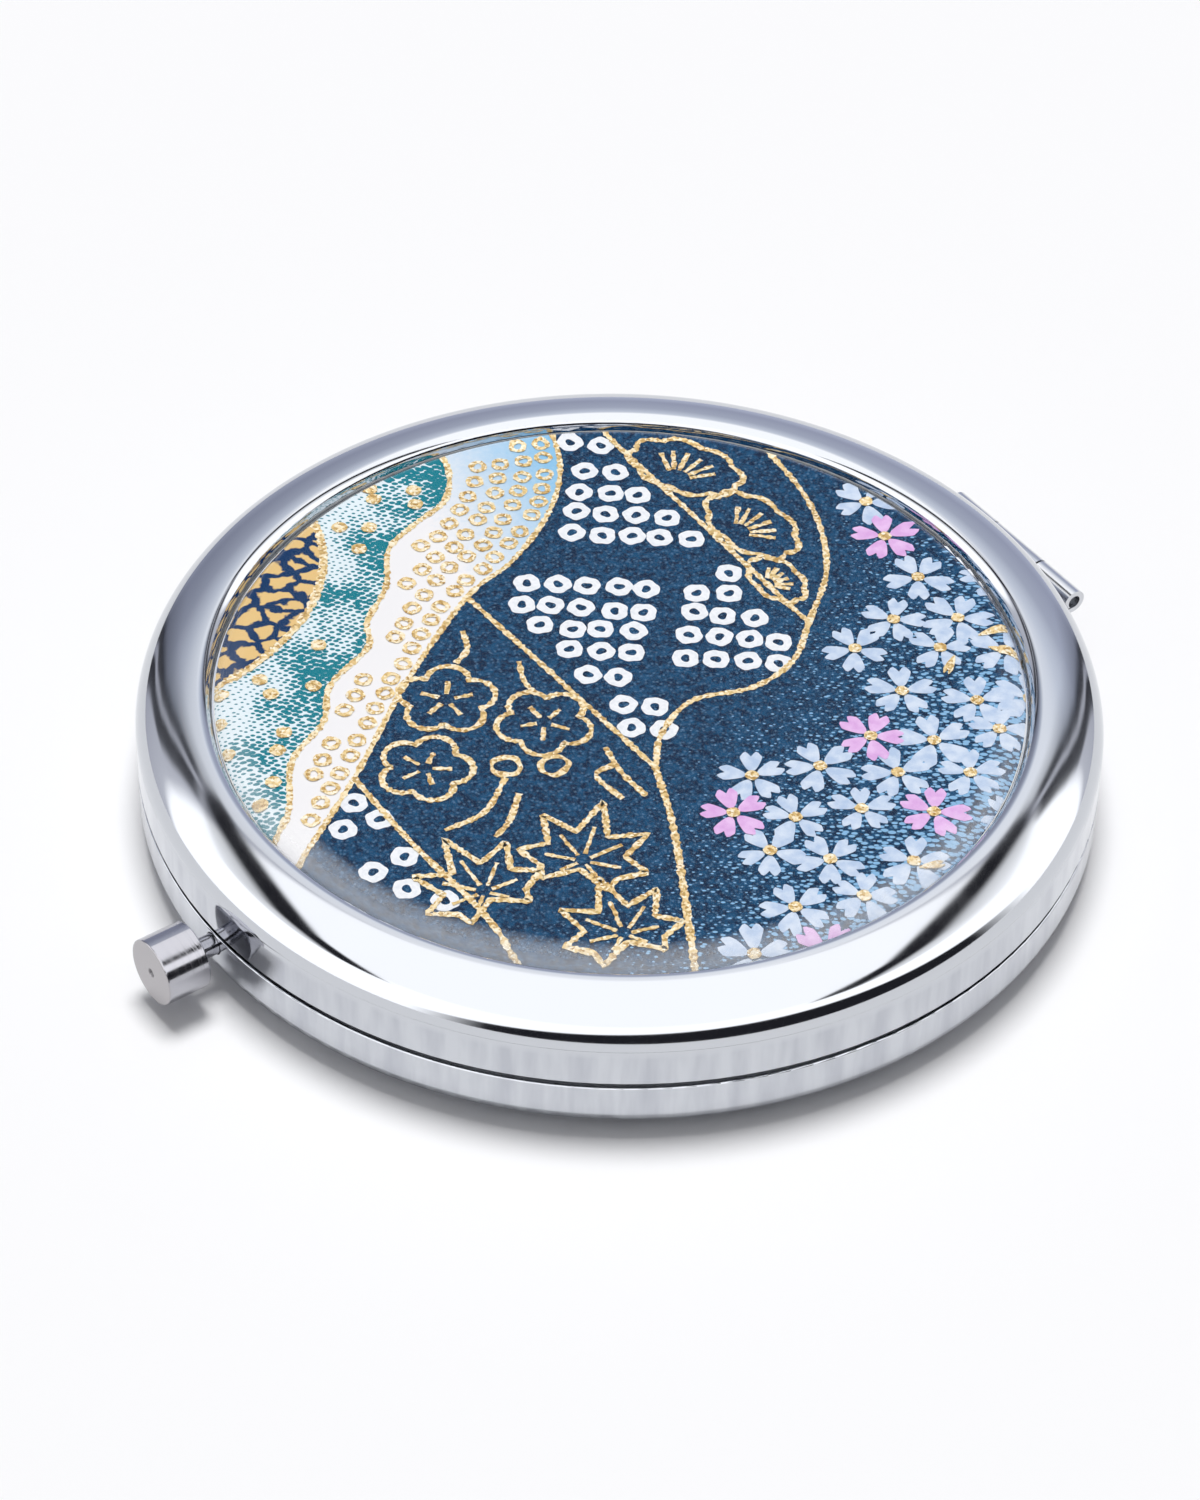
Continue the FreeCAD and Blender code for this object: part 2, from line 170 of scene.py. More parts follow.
SPARK_GRAIN = 0.18
SPARK_DEPTH = 0.006
FLOW_CLOUD = 8.0
plastic, tree, shader, place = new_material("moulded_silver_abs")
grain = add_node(tree, "TexNoise", {"Vector": place, "Scale": 1 / SPARK_GRAIN, "Detail": 2.0})
flow = add_node(tree, "TexNoise", {"Vector": place, "Scale": 1 / FLOW_CLOUD, "Detail": 2.0})
tone = add_node(tree, "ValToRGB", {"Fac": flow}, [(0.35, "#b9bbc0"), (0.65, "#c6c8cd")])
satin = add_node(tree, "MapRange", {
    "Value": grain, "From Min": 0.3, "From Max": 0.7, "To Min": 0.32, "To Max": 0.46})
bump = add_node(tree, "Bump", {"Height": grain, "Distance": SPARK_DEPTH * MM})
connect(tree, shader, {"Base Color": tone, "Roughness": satin, "Normal": bump})
dress("base_frame", plastic)
dress("lid_frame", plastic)


# Hinge
# Two leaves of steel strip are soldered inside the shells; their tabs pass out through slots and are rolled
# into three knuckles. They are plated with the case, over a drawn wire pin that stays plain steel.

ROLL_LINE = 0.12
ROLL_DEPTH = 0.0015
hinge_plate, tree, shader, place = new_material("chrome_plate_on_rolled_strip")
along_x = add_node(tree, "Mapping", {"Vector": place, "Scale": (0.25, 1 / ROLL_LINE, 1 / ROLL_LINE)})
lines = add_node(tree, "TexNoise", {"Vector": along_x, "Scale": 1.0, "Detail": 2.0})
shine = add_node(tree, "MapRange", {
    "Value": lines, "From Min": 0.3, "From Max": 0.7, "To Min": 0.10, "To Max": 0.20})
bump = add_node(tree, "Bump", {"Height": lines, "Distance": ROLL_DEPTH * MM})
connect(tree, shader, {"Base Color": "#ced0d4", "Metallic": 1.0, "Roughness": shine, "Normal": bump})
dress("base_hinge_leaf", hinge_plate)
dress("lid_hinge_leaf", hinge_plate)


def plain_steel(name, per_mm, line, dark, light, roughness):
    """Unplated steel with drawn or rolled lines along X: per_mm of them in a row, each as wide as line."""
    material, tree, shader, place = new_material(name)
    along_x = add_node(tree, "Mapping", {"Vector": place, "Scale": (per_mm, 1 / line, 1 / line)})
    lines = add_node(tree, "TexNoise", {"Vector": along_x, "Scale": 1.0, "Detail": 3.0})
    tone = add_node(tree, "ValToRGB", {"Fac": lines}, [(0.3, dark), (0.7, light)])
    connect(tree, shader, {"Base Color": tone, "Metallic": 1.0, "Roughness": roughness})
    return material


dress("hinge_pin", plain_steel("drawn_steel_wire", 0.15, 0.06, "#85868a", "#a9abae", 0.32))


# Push button
# The plunger is turned from bar, head and stem in one, faced with a small centre dimple and plated.
# The tool leaves fine rings on the face and around the head; a steel clip holds it behind the wall.

TURNING_RING = 0.16
TURNING_DEPTH = 0.003
BUTTON_HEIGHT = 3.94
BUTTON_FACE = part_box("button_plunger")[0].y / MM
FACE_DEPTH = 0.1
turned_plate, tree, shader, place = new_material("plate_on_turned_steel")
from_axis = add_node(tree, "Mapping", {
    "Vector": place, "Location": (0, 0, -BUTTON_HEIGHT), "Scale": (1, 0, 1)})
radius = add_node(tree, "VectorMath", {0: from_axis}, operation="LENGTH")
depth = add_node(tree, "SeparateXYZ", {"Vector": place}).node.outputs["Y"]
travel = add_node(tree, "Math", {0: radius, 1: depth}, operation="ADD")
feed = add_node(tree, "Math", {0: travel, 1: 1 / TURNING_RING}, operation="MULTIPLY")
rings = add_node(tree, "TexNoise", {"W": feed, "Scale": 1.0, "Detail": 2.0}, noise_dimensions="1D")
shine = add_node(tree, "MapRange", {
    "Value": rings, "From Min": 0.3, "From Max": 0.7, "To Min": 0.08, "To Max": 0.22})
bump = add_node(tree, "Bump", {"Height": rings, "Distance": TURNING_DEPTH * MM})
# The face is toned a little darker than the head's side, and the centre dimple is painted dark grey: painted
# shade in its hollow.
plate_tone_and_painted_shade = add_node(tree, "MapRange", {
    "Value": depth, "From Min": BUTTON_FACE, "From Max": BUTTON_FACE + FACE_DEPTH})
plate_tone_and_painted_shade = add_node(tree, "ValToRGB", {"Fac": plate_tone_and_painted_shade}, [(0.0, "#aca9ab"), (1.0, "#b2b2b8")])
past_dimple_shade = add_node(tree, "MapRange", {"Value": radius, "From Min": 0.26, "From Max": 0.40})
plate_tone_and_painted_shade = add_node(tree, "Mix", {"Factor": past_dimple_shade, 6: "#6a696b", 7: plate_tone_and_painted_shade}, data_type="RGBA")
connect(tree, shader, {"Base Color": plate_tone_and_painted_shade, "Metallic": 1.0, "Roughness": shine, "Normal": bump})
dress("button_plunger", turned_plate)

strip_steel = plain_steel("rolled_spring_steel", 0.3, 0.1, "#8d8e92", "#b4b6ba", 0.28)
dress("button_clip", strip_steel)
dress("lid_catch", strip_steel)


# Catch spring
# A strip of spring steel stands behind the stem, its ends in slotted posts; its hook holds the lid's striker.
# Pressing the button bows its middle inward; here each half is drawn straight, from the middle out to its
# held end.

SPRING_STATIONS = 40
HOOK_STATIONS = 4
SPRING_LOW = np.array(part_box("catch_spring")[0])
SPRING_HIGH = np.array(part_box("catch_spring")[1])
STRIP_THICKNESS = 0.3 * MM
STRIP_TOP = 3.92 * MM
HOOK_HALF_WIDTH = 1.2 * MM
HOOK_UNDER = 5.94 * MM
HOOK_SLOPE = 0.42 * MM


def new_piece(name, points, faces, material):
    """A new object in the scene, from points in metres, faces and a material."""
    mesh = bpy.data.meshes.new(name)
    mesh.from_pydata(points.tolist(), [], faces)
    mesh.materials.append(material)
    piece = bpy.data.objects.new(name, mesh)
    bpy.context.scene.collection.objects.link(piece)
    return piece


def grid_faces(rows, columns, around=False):
    """Quads between neighbours of a grid of points, row by row; around joins the last column to the first."""
    here = np.arange(rows * columns).reshape(rows, columns)
    left = here if around else here[:, :-1]
    right = np.roll(here, -1, axis=1) if around else here[:, 1:]
    return np.stack([left[:-1], right[:-1], right[1:], left[1:]], axis=-1).reshape(-1, 4)


def drawn_profile(outline, stations):
    """A closed outline in Y and Z carried along X: point (i, j) is station i with outline point j."""
    shape = (len(stations), len(outline))
    x = np.broadcast_to(stations[:, None], shape)
    yz = np.broadcast_to(outline[None], shape + (2,))
    points = np.concatenate([x[..., None], yz], axis=-1).reshape(-1, 3)
    sides = grid_faces(*shape, around=True).tolist()
    first = list(range(len(outline)))[::-1]
    last = list(range(len(points) - len(outline), len(points)))
    return points, sides + [first, last]


def spring_half(name, side):
    """The strip and half the hook, from the middle out to one held end."""
    face = SPRING_HIGH[1] - STRIP_THICKNESS
    back = SPRING_HIGH[1]
    strip = np.array([(face, SPRING_LOW[2]), (back, SPRING_LOW[2]), (back, STRIP_TOP), (face, STRIP_TOP)])
    tip = SPRING_LOW[1]
    hook = np.array([
        (back, STRIP_TOP), (back, SPRING_HIGH[2]), (tip, HOOK_UNDER + STRIP_THICKNESS), (tip, HOOK_UNDER),
        (face, HOOK_UNDER + HOOK_SLOPE), (face, STRIP_TOP)])
    points, faces = drawn_profile(strip, np.linspace(0, SPRING_HIGH[0], SPRING_STATIONS))
    more, more_faces = drawn_profile(hook, np.linspace(0, HOOK_HALF_WIDTH, HOOK_STATIONS))
    faces = faces + [[corner + len(points) for corner in quad] for quad in more_faces]
    points = np.concatenate([points, more]) * (side, 1, 1)
    piece = new_piece(name, points, [quad[::side] for quad in faces], strip_steel)
    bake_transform(piece)
    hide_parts("catch_spring")


spring_half("catch_spring_left", -1)
spring_half("catch_spring_right", 1)


# Lid shell
# The upper half is drawn from the same sheet: a straight wall, a rolled crown and a shallow tray.
# It is plated in the same bath as the base; over the rolled rim the plate is a fine skin of its own.

RIM_STATIONS = 300
PLATE_PROUD = 0.004
PLATE_BURIED = 0.05
CASE_RADIUS = 35.0
CREST_RADIUS = 30.5
CREST_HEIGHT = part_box("lid_shell")[1].z / MM
CORNER_BEND = 2.65
CROWN_BEND = 7.0275
LIP_BEND = 0.9
# Each arc has its centre's radius and height, its bend, and the angles in degrees that it runs between.
RIM_ARCS = (
    (CASE_RADIUS - CORNER_BEND, WALL_TOP, CORNER_BEND, 8, 65),
    (CREST_RADIUS, CREST_HEIGHT - CROWN_BEND, CROWN_BEND, 65, 90),
    (CREST_RADIUS, CREST_HEIGHT - LIP_BEND, LIP_BEND, 90, 180))
dress("lid_shell", chrome)


def unit(angle):
    """Vectors of length one: (cos a, sin a)."""
    return np.stack([np.cos(angle), np.sin(angle)], axis=-1)


def rim_profile(offset, steps=32):
    """Corner, crown and lip as radius and height: centre + (bend + offset) (cos a, sin a) along each arc."""
    arcs = []
    for radius, height, bend, start, end in RIM_ARCS:
        angle = np.radians(np.linspace(start, end, steps))
        arcs.append(np.array((radius, height)) + (bend + offset) * unit(angle))
    return np.concatenate([arcs[0], arcs[1][1:], arcs[2][1:]])


def lathed(profile, stations):
    """A closed profile turned about Z: point (i, j) is (r_j cos a_i, r_j sin a_i, z_j)."""
    turn = np.linspace(0, 2 * np.pi, stations, endpoint=False)[:, None]
    radius, height = profile.T
    points = np.stack([radius * np.cos(turn), radius * np.sin(turn), height + 0 * turn], axis=-1)
    here = np.arange(stations * len(profile)).reshape(stations, -1)
    onward = np.roll(here, -1, axis=0)
    quads = np.stack([here, onward, np.roll(onward, -1, axis=1), np.roll(here, -1, axis=1)], -1)
    return points.reshape(-1, 3), quads.reshape(-1, 4)


skin = np.concatenate([rim_profile(PLATE_PROUD), rim_profile(-PLATE_BURIED)[::-1]])
points, faces = lathed(skin, RIM_STATIONS)
rim_plate = new_piece("lid_rim_plate", points * MM, faces.tolist(), chrome)
rim_plate.data.polygons.foreach_set("use_smooth", np.ones(len(faces), bool))
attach(rim_plate, "lid")


# Paper
# A round of handmade-style paper lies in the tray, screen-printed before the resin is poured over it.
# Its bare edge shows as a thin pale line of soft fibres.

FIBRE = 0.5
FIBRE_LIFT = 0.01
paper, tree, shader, place = new_material("kozo_paper")
fibres = add_node(tree, "TexNoise", {"Vector": place, "Scale": 1 / FIBRE, "Detail": 5.0})
tone = add_node(tree, "ValToRGB", {"Fac": fibres}, [(0.3, "#d9d8d4"), (0.7, "#efeeea")])
bump = add_node(tree, "Bump", {"Height": fibres, "Distance": FIBRE_LIFT * MM})
connect(tree, shader, {"Base Color": tone, "Roughness": 0.8, "Normal": bump})
dress("paper_disc", paper)


# Ground ink
# The sheet is flooded with navy ink first, which breaks up into pale blue dashes toward its lower right.
# Each printing is a film of two hundredths of a millimetre, wetted by the resin above it.

PRINT_TURN = math.radians(53.4)
PRINT_RADIUS = 29.25
INK_PITCH = 0.03
INK_FILM = 0.7 * INK_PITCH
INK_STEP = 0.0005
INK_STEPS = 55
PAPER_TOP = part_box("paper_disc")[1].z / MM
SMALLEST_FACE = 0.0004
DASH_LENGTH = 0.62
DASH_WIDTH = 0.36
BARE_SPOT = 0.5
MOTTLE_PER_MM = 1.9
print_turn = np.stack([unit(PRINT_TURN), unit(PRINT_TURN + np.pi / 2)])


def new_ink(name):
    """A printing ink's material, without shine of its own under the resin. Its coordinates are turned to the
    print's own right and up."""
    material, tree, shader, place = new_material(name)
    shader.inputs["Specular IOR Level"].default_value = 0.0
    turned = add_node(tree, "Mapping", {"Vector": place, "Rotation": (0, 0, -PRINT_TURN)})
    return material, tree, shader, turned


def printed(name, shapes, layer, ink):
    """Flat shapes as one film of ink. Points beyond the print's radius are pulled in to it, each face is
    turned to run anticlockwise from above, and faces left with no area are dropped.
    Small steps of height keep shapes that cross from sharing a face."""
    steps = np.repeat(np.arange(len(shapes)) % INK_STEPS, [len(points) for points, _ in shapes])
    counts = np.cumsum([0] + [len(points) for points, _ in shapes])
    points = np.concatenate([points for points, _ in shapes])
    faces = np.concatenate([faces + start for (_, faces), start in zip(shapes, counts)])
    reach = np.linalg.norm(points, axis=1, keepdims=True)
    points = points * np.minimum(1, PRINT_RADIUS / np.maximum(reach, 1e-6))
    corner = points[faces]
    across = corner[:, 2] - corner[:, 0]
    along = corner[:, 3] - corner[:, 1]
    area = (across[:, 0] * along[:, 1] - across[:, 1] * along[:, 0]) / 2
    faces = np.where(area[:, None] < 0, faces[:, ::-1], faces)[np.abs(area) > SMALLEST_FACE]
    used, faces = np.unique(faces, return_inverse=True)
    flat = points[used] @ print_turn
    height = PAPER_TOP + INK_PITCH * layer + INK_STEP * steps[used, None]
    piece = new_piece(name, np.hstack([flat, height]) * MM, faces.reshape(-1, 4).tolist(), ink)
    film = piece.modifiers.new("film", "SOLIDIFY")
    film.thickness = INK_FILM * MM
    film.offset = -1
    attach(piece, "lid")


def filled(left, right, columns):
    """The area between two lines: point (i, j) is j/columns of the way from left to right at step i."""
    share = np.linspace(0, 1, columns)[None, :, None]
    points = left[:, None] * (1 - share) + right[:, None] * share
    return points.reshape(-1, 2), grid_faces(len(left), columns)


navy, tree, shader, place = new_ink("navy_screen_ink")
across = add_node(tree, "VectorMath", {0: place, 1: (0.85, -0.35, 0)}, operation="DOT_PRODUCT")
breaking_up = add_node(tree, "MapRange", {
    "Value": across, "From Min": 2.0, "From Max": 25.0, "To Max": 0.58})
dash_grid = add_node(tree, "Mapping", {
    "Vector": place, "Rotation": (0, 0, 0.35), "Scale": (1 / DASH_LENGTH, 1 / DASH_WIDTH, 0)})
dashes = add_node(tree, "TexVoronoi", {"Vector": dash_grid, "Scale": 1.0}, voronoi_dimensions="2D")
chance = add_node(tree, "SeparateColor", {"Color": dashes.node.outputs["Color"]})
held_back = add_node(tree, "Math", {0: chance, 1: 0.30, 2: dashes}, operation="MULTIPLY_ADD")
inside_dash = add_node(tree, "Math", {0: breaking_up, 1: held_back}, operation="SUBTRACT")
dash_edge = add_node(tree, "MapRange", {"Value": inside_dash, "From Min": -0.04, "From Max": 0.04})
mottle = add_node(tree, "TexNoise", {
    "Vector": place, "Scale": MOTTLE_PER_MM, "Detail": 4.0, "Roughness": 0.7})
ground_tone = add_node(tree, "ValToRGB", {"Fac": mottle}, [(0.40, "#03213f"), (0.60, "#114b73")])
fibre = add_node(tree, "TexVoronoi", {"Vector": place, "Scale": 1 / BARE_SPOT}, voronoi_dimensions="2D")
bare = add_node(tree, "MapRange", {
    "Value": fibre, "From Min": 0.10, "From Max": 0.26, "To Min": 0.45, "To Max": 0.0})
ground_tone = add_node(tree, "Mix", {"Factor": bare, 6: ground_tone, 7: "#5f87ab"}, data_type="RGBA")
ink_tone = add_node(tree, "Mix", {"Factor": dash_edge, 6: ground_tone, 7: "#86b6dd"}, data_type="RGBA")
connect(tree, shader, {"Base Color": ink_tone, "Roughness": 0.55})

rim_of_print = PRINT_RADIUS * unit(np.linspace(0, 2 * np.pi, 145))
printed("ink_ground", [filled(0.002 * rim_of_print, rim_of_print, 12)], 1, navy)


# Colour bands
# A teal band and a white band sweep down the left of the print, beside a dark cell of gold flakes.
# They are printed as fine dashes that thicken and thin, so each band shades from one colour to the next.


def curve(knots, samples=90):
    """A smooth line through a few points: cubics whose slope at each point runs between its neighbours."""
    knots = np.array(knots, float)
    ends = np.concatenate([2 * knots[:1] - knots[1:2], knots, 2 * knots[-1:] - knots[-2:-1]])
    place = np.linspace(0, len(knots) - 1, samples)
    start = np.minimum(place.astype(int), len(knots) - 2)
    t = (place - start)[:, None]
    a, b, c, d = (ends[start + step] for step in range(4))
    return b + 0.5 * t * (c - a + t * (2 * a - 5 * b + 4 * c - d + t * (3 * (b - c) + d - a)))


cell_edge = curve([(-24.4, 21.0), (-22.6, 16.0), (-22.2, 11.5), (-23.4, 6.4), (-26.7, 1.2), (-31.0, -2.6)])
teal_edge = curve([
    (-16.5, 28.5), (-13.6, 25.0), (-13.4, 20.6), (-15.6, 17.6), (-17.4, 14.6), (-17.4, 10.4), (-18.6, 6.4),
    (-18.4, 3.6), (-20.9, -0.6), (-21.2, -4.6), (-23.2, -8.8), (-23.2, -14.6), (-25.4, -20.0)])
white_edge = curve([
    (-6.2, 31.0), (-4.9, 25.0), (-5.6, 19.4), (-8.2, 13.6), (-11.4, 9.4), (-15.4, 0.0), (-18.7, -10.4),
    (-23.0, -21.5)])
BAND_REACH = np.array((-18.0, 0))
TEAL_DASH = (0.55, 0.36)
DRIFT_PER_MM = 0.24
SHADING_PER_MM = 3.0
TEARS_PER_MM = 0.8
FLAKE_LENGTH = 2.0
FLAKE_WIDTH = 1.7

teal, tree, shader, place = new_ink("teal_screen_ink")
dash_grid = add_node(tree, "Mapping", {
    "Vector": place, "Rotation": (0, 0, 0.6), "Scale": (1 / TEAL_DASH[0], 1 / TEAL_DASH[1], 0)})
dashes = add_node(tree, "TexVoronoi", {
    "Vector": dash_grid, "Scale": 1.0, "Randomness": 0.45}, voronoi_dimensions="2D")
drift = add_node(tree, "TexNoise", {"Vector": place, "Scale": DRIFT_PER_MM, "Detail": 3.0})
rightward = add_node(tree, "VectorMath", {0: place, 1: (0.97, -0.24, 0)}, operation="DOT_PRODUCT")
uneven = add_node(tree, "Math", {0: drift, 1: 30.0, 2: rightward}, operation="MULTIPLY_ADD")
dash_size = add_node(tree, "MapRange", {
    "Value": uneven, "From Min": -12.5, "From Max": -2.0, "To Min": 0.20, "To Max": 0.64})
inside_dash = add_node(tree, "Math", {0: dash_size, 1: dashes}, operation="SUBTRACT")
dash_edge = add_node(tree, "MapRange", {"Value": inside_dash, "From Min": -0.05, "From Max": 0.05})
band_tone = add_node(tree, "Mix", {"Factor": dash_edge, 6: "#e4f0f6", 7: "#0b7c8c"}, data_type="RGBA")
connect(tree, shader, {"Base Color": band_tone, "Roughness": 0.55})
printed("ink_teal_band", [filled(teal_edge + BAND_REACH, teal_edge, 24)], 2, teal)

white_blue, tree, shader, place = new_ink("white_to_blue_screen_ink")
upward = add_node(tree, "VectorMath", {0: place, 1: (0.72, 0.30, 0)}, operation="DOT_PRODUCT")
shading = add_node(tree, "TexNoise", {"Vector": place, "Scale": SHADING_PER_MM, "Detail": 3.0})
uneven = add_node(tree, "Math", {0: shading, 1: 3.0, 2: upward}, operation="MULTIPLY_ADD")
band_tone = add_node(tree, "MapRange", {"Value": uneven, "From Min": -3.5, "From Max": 5.0})
band_tone = add_node(tree, "ValToRGB", {"Fac": band_tone}, [(0.0, "#f2f1f3"), (1.0, "#8fc5ea")])
connect(tree, shader, {"Base Color": band_tone, "Roughness": 0.6})
printed("ink_white_band", [filled(teal_edge, white_edge, 12)], 3, white_blue)

flakes, tree, shader, place = new_ink("navy_and_gold_flake_ink")
tears = add_node(tree, "TexNoise", {"Vector": place, "Scale": TEARS_PER_MM, "Detail": 3.0})
torn = add_node(tree, "VectorMath", {
    0: tears.node.outputs["Color"], 1: (1.6, 1.6, 0), 2: place}, operation="MULTIPLY_ADD")
flake_grid = add_node(tree, "Mapping", {"Vector": torn, "Scale": (1 / FLAKE_LENGTH, 1 / FLAKE_WIDTH, 0)})
flake_gap = add_node(tree, "TexVoronoi", {
    "Vector": flake_grid, "Scale": 1.0}, feature="DISTANCE_TO_EDGE", voronoi_dimensions="2D")
on_flake = add_node(tree, "MapRange", {"Value": flake_gap, "From Min": 0.13, "From Max": 0.18})
cell_tone = add_node(tree, "Mix", {"Factor": on_flake, 6: "#0d3561", 7: "#e6c383"}, data_type="RGBA")
connect(tree, shader, {"Base Color": cell_tone, "Roughness": 0.5})
printed("ink_flake_cell", [filled(cell_edge + BAND_REACH, cell_edge, 16)], 4, flakes)


# Tie-dye rings
# Rows of small white rings stand for tie-dyed cloth, each with a navy eye left open in the middle.
# They are drawn by hand for the screen, so no two are quite round.

RING_OUTER = 1.0
RING_INNER = 0.36
RING_STEP = (2.25, -0.12)
ROW_STEP = (-0.3, -2.45)
COVER_PER_MM = 3.5
rng = np.random.default_rng(11)


def ink_rings(centres, outer, inner, steps=28):
    """Rings with a wavering edge: outer times 1 plus small fourth and seventh waves, which make it squarish
    and rough, and inner times 1 plus larger second and third waves, which make the eye uneven."""
    turn = np.linspace(0, 2 * np.pi, steps, endpoint=False)
    phase = rng.uniform(0, 2 * np.pi, (2, len(centres), 1))
    rim = outer * (1 + 0.05 * np.sin(4 * turn + phase[0]) + 0.035 * np.sin(7 * turn + phase[1]))
    eye = inner * (1 + 0.16 * np.sin(2 * turn + phase[1]) + 0.08 * np.sin(3 * turn + phase[0]))
    points = np.stack([eye, rim], axis=1)[..., None] * unit(turn) + centres[:, None, None]
    faces = grid_faces(2, steps, around=True)
    return [(ring, faces) for ring in points.reshape(len(centres), -1, 2)]


def rows_of(corner, columns, rows):
    """Centres in slanted rows: corner plus whole steps along and down."""
    along, down = np.meshgrid(np.arange(columns), np.arange(rows))
    steps = along[..., None] * np.array(RING_STEP) + down[..., None] * np.array(ROW_STEP)
    centres = np.array(corner) + steps.reshape(-1, 2)
    return centres + rng.normal(0, 0.09, centres.shape)


def left_of(points, start, end):
    """How far each point lies to the left of a line."""
    line = np.array(end) - np.array(start)
    offset = points - np.array(start)
    return (line[0] * offset[:, 1] - line[1] * offset[:, 0]) / np.linalg.norm(line)


def patchy_ink(name, per_mm, thin, full):
    """An ink that covers fibrous paper unevenly: its thin and full colour, each from a level of noise."""
    material, tree, shader, place = new_ink(name)
    cover = add_node(tree, "TexNoise", {"Vector": place, "Scale": per_mm, "Detail": 4.0})
    tone = add_node(tree, "ValToRGB", {"Fac": cover}, [thin, full])
    connect(tree, shader, {"Base Color": tone, "Roughness": 0.6})
    return material


white_ink = patchy_ink("white_screen_ink", COVER_PER_MM, (0.3, "#e6eaf0"), (0.6, "#f4f6fa"))
upper = np.concatenate([rows_of((-4.2, 27.6), 2, 1), rows_of((-3.0, 24.4), 8, 4)])
upper = upper[left_of(upper, (-2.2, 29.7), (13.7, 7.4)) < -0.9]
middle = np.concatenate([
    rows_of((-7.1, 11.2), 5, 2), rows_of((-6.0, 6.4), 4, 1), rows_of((-3.7, 3.9), 3, 1),
    rows_of((-2.4, 1.2), 2, 1), rows_of((7.9, 12.7), 1, 1), rows_of((5.5, 10.6), 4, 4)])
middle = middle[left_of(middle, (-11.4, 9.4), (2.6, -8.6)) > 1.2]
middle = middle[left_of(middle, (-2.2, 29.7), (13.7, 7.4)) < -1.3]
scattered = [
    (-18.6, -12.9), (-16.7, -14.5), (-19.2, -15.6), (-14.8, -18.2), (-16.9, -19.8), (-14.5, -21.4),
    (-11.8, -22.5)]
lower = np.concatenate([rows_of((0.3, -1.9), 2, 1), rows_of((0.9, -4.4), 2, 1), scattered])
rings = ink_rings(np.concatenate([upper, middle, lower]), RING_OUTER, RING_INNER)
printed("ink_tie_dye_rings", rings, 2, white_ink)


# Blossoms
# Five-petalled cherry blossoms in pale blue, with a few in pink, crowd the right of the print.
# Each petal has a notched tip, and its ink lies unevenly on the fibrous paper.

PETAL_LENGTH = 2.55
PETAL_HALF_WIDTH = 1.02
PETAL_START = 0.42
BLOSSOM_SPACING = 5.0
BLOSSOM_JITTER = 0.75
BLOSSOM_REACH = 30.5
PINK_SHARE = 0.25
PETAL_CLOUDS_PER_MM = 1.1
FIELD_HEIGHTS = (-26, -19, -11, -5, 1, 8, 13, 20, 26)
FIELD_LEFT = (8.0, 8.6, 7.4, 12, 15.5, 17, 18.4, 18.5, 15.5)


def repeated(points, faces, centres, turns, sizes):
    """Copies of one flat shape, each turned, then sized, then set at its centre."""
    spin = np.stack([unit(turns), unit(turns + np.pi / 2)], axis=-1)
    placed = np.einsum("nij,kj->nki", spin, points) * sizes[:, None, None] + centres[:, None]
    return [(copy, faces) for copy in placed]


def petal():
    """A notched petal: t runs out along it and s across; its width goes by 0.08 + 0.92 t^0.65 (1 - 0.3 t^4),
    and its tip is cut back in the middle by a bell curve and at both sides by s^4."""
    t, s = np.meshgrid(np.linspace(0, 1, 8), np.linspace(-1, 1, 9), indexing="ij")
    tip = 1 - t ** 3 * (0.26 * np.exp(-(s / 0.28) ** 2) + 0.22 * s ** 4)
    out = PETAL_START + (PETAL_LENGTH - PETAL_START) * t * tip
    across = PETAL_HALF_WIDTH * s * (0.08 + 0.92 * t ** 0.65 * (1 - 0.3 * t ** 4))
    return np.stack([out, across], axis=-1).reshape(-1, 2), grid_faces(8, 9)


column, row = np.meshgrid(np.arange(-7, 8), np.arange(-8, 9))
hexes = np.stack([column + 0.5 * (row % 2), row * 0.866], axis=-1).reshape(-1, 2) * BLOSSOM_SPACING
hexes = hexes + rng.uniform(-BLOSSOM_JITTER, BLOSSOM_JITTER, hexes.shape)
left_limit = np.interp(hexes[:, 1], FIELD_HEIGHTS, FIELD_LEFT)
blossoms = hexes[(hexes[:, 0] > left_limit) & (np.linalg.norm(hexes, axis=1) < BLOSSOM_REACH)]
turns = rng.uniform(0, 2 * np.pi, len(blossoms))
sizes = rng.uniform(0.92, 1.1, len(blossoms))
pink = rng.random(len(blossoms)) < PINK_SHARE
fifths = 2 * np.pi * np.arange(5) / 5
petal_turns = turns[:, None] + fifths + rng.normal(0, 0.06, (len(blossoms), 5))
petal_sizes = sizes[:, None] * rng.uniform(0.94, 1.06, (len(blossoms), 5))
petal_centres = np.repeat(blossoms, 5, axis=0)
pale_blue = patchy_ink("pale_blue_screen_ink", PETAL_CLOUDS_PER_MM, (0.35, "#b6cae6"), (0.65, "#d6e2f3"))
pale_pink = patchy_ink("pink_screen_ink", PETAL_CLOUDS_PER_MM, (0.35, "#dca9e2"), (0.65, "#ebc3f0"))
for name, chosen, layer, ink in (
        ("ink_blue_blossoms", ~pink, 2, pale_blue), ("ink_pink_blossoms", pink, 3, pale_pink)):
    each = np.repeat(chosen, 5)
    petals = repeated(*petal(), petal_centres[each], petal_turns.ravel()[each], petal_sizes.ravel()[each])
    printed(name, petals, layer, ink)


# Gold outlines
# The last screen is bronze-powder gold: band edges, a panel of plum and maple, flecks and flower centres.
# The powder sparkles and leaves the lines ragged. Its grain is drawn coarser than real powder, which would
# be too fine to see.

GOLD_LINE = 0.46
GOLD_GRAIN = 0.2
GRAIN_HEIGHT = 0.03
STAMEN_LINE = 0.36
VEIN_LINE = 0.3
NEEDLE_LINE = 0.36
SHOOT_LINE = 0.45


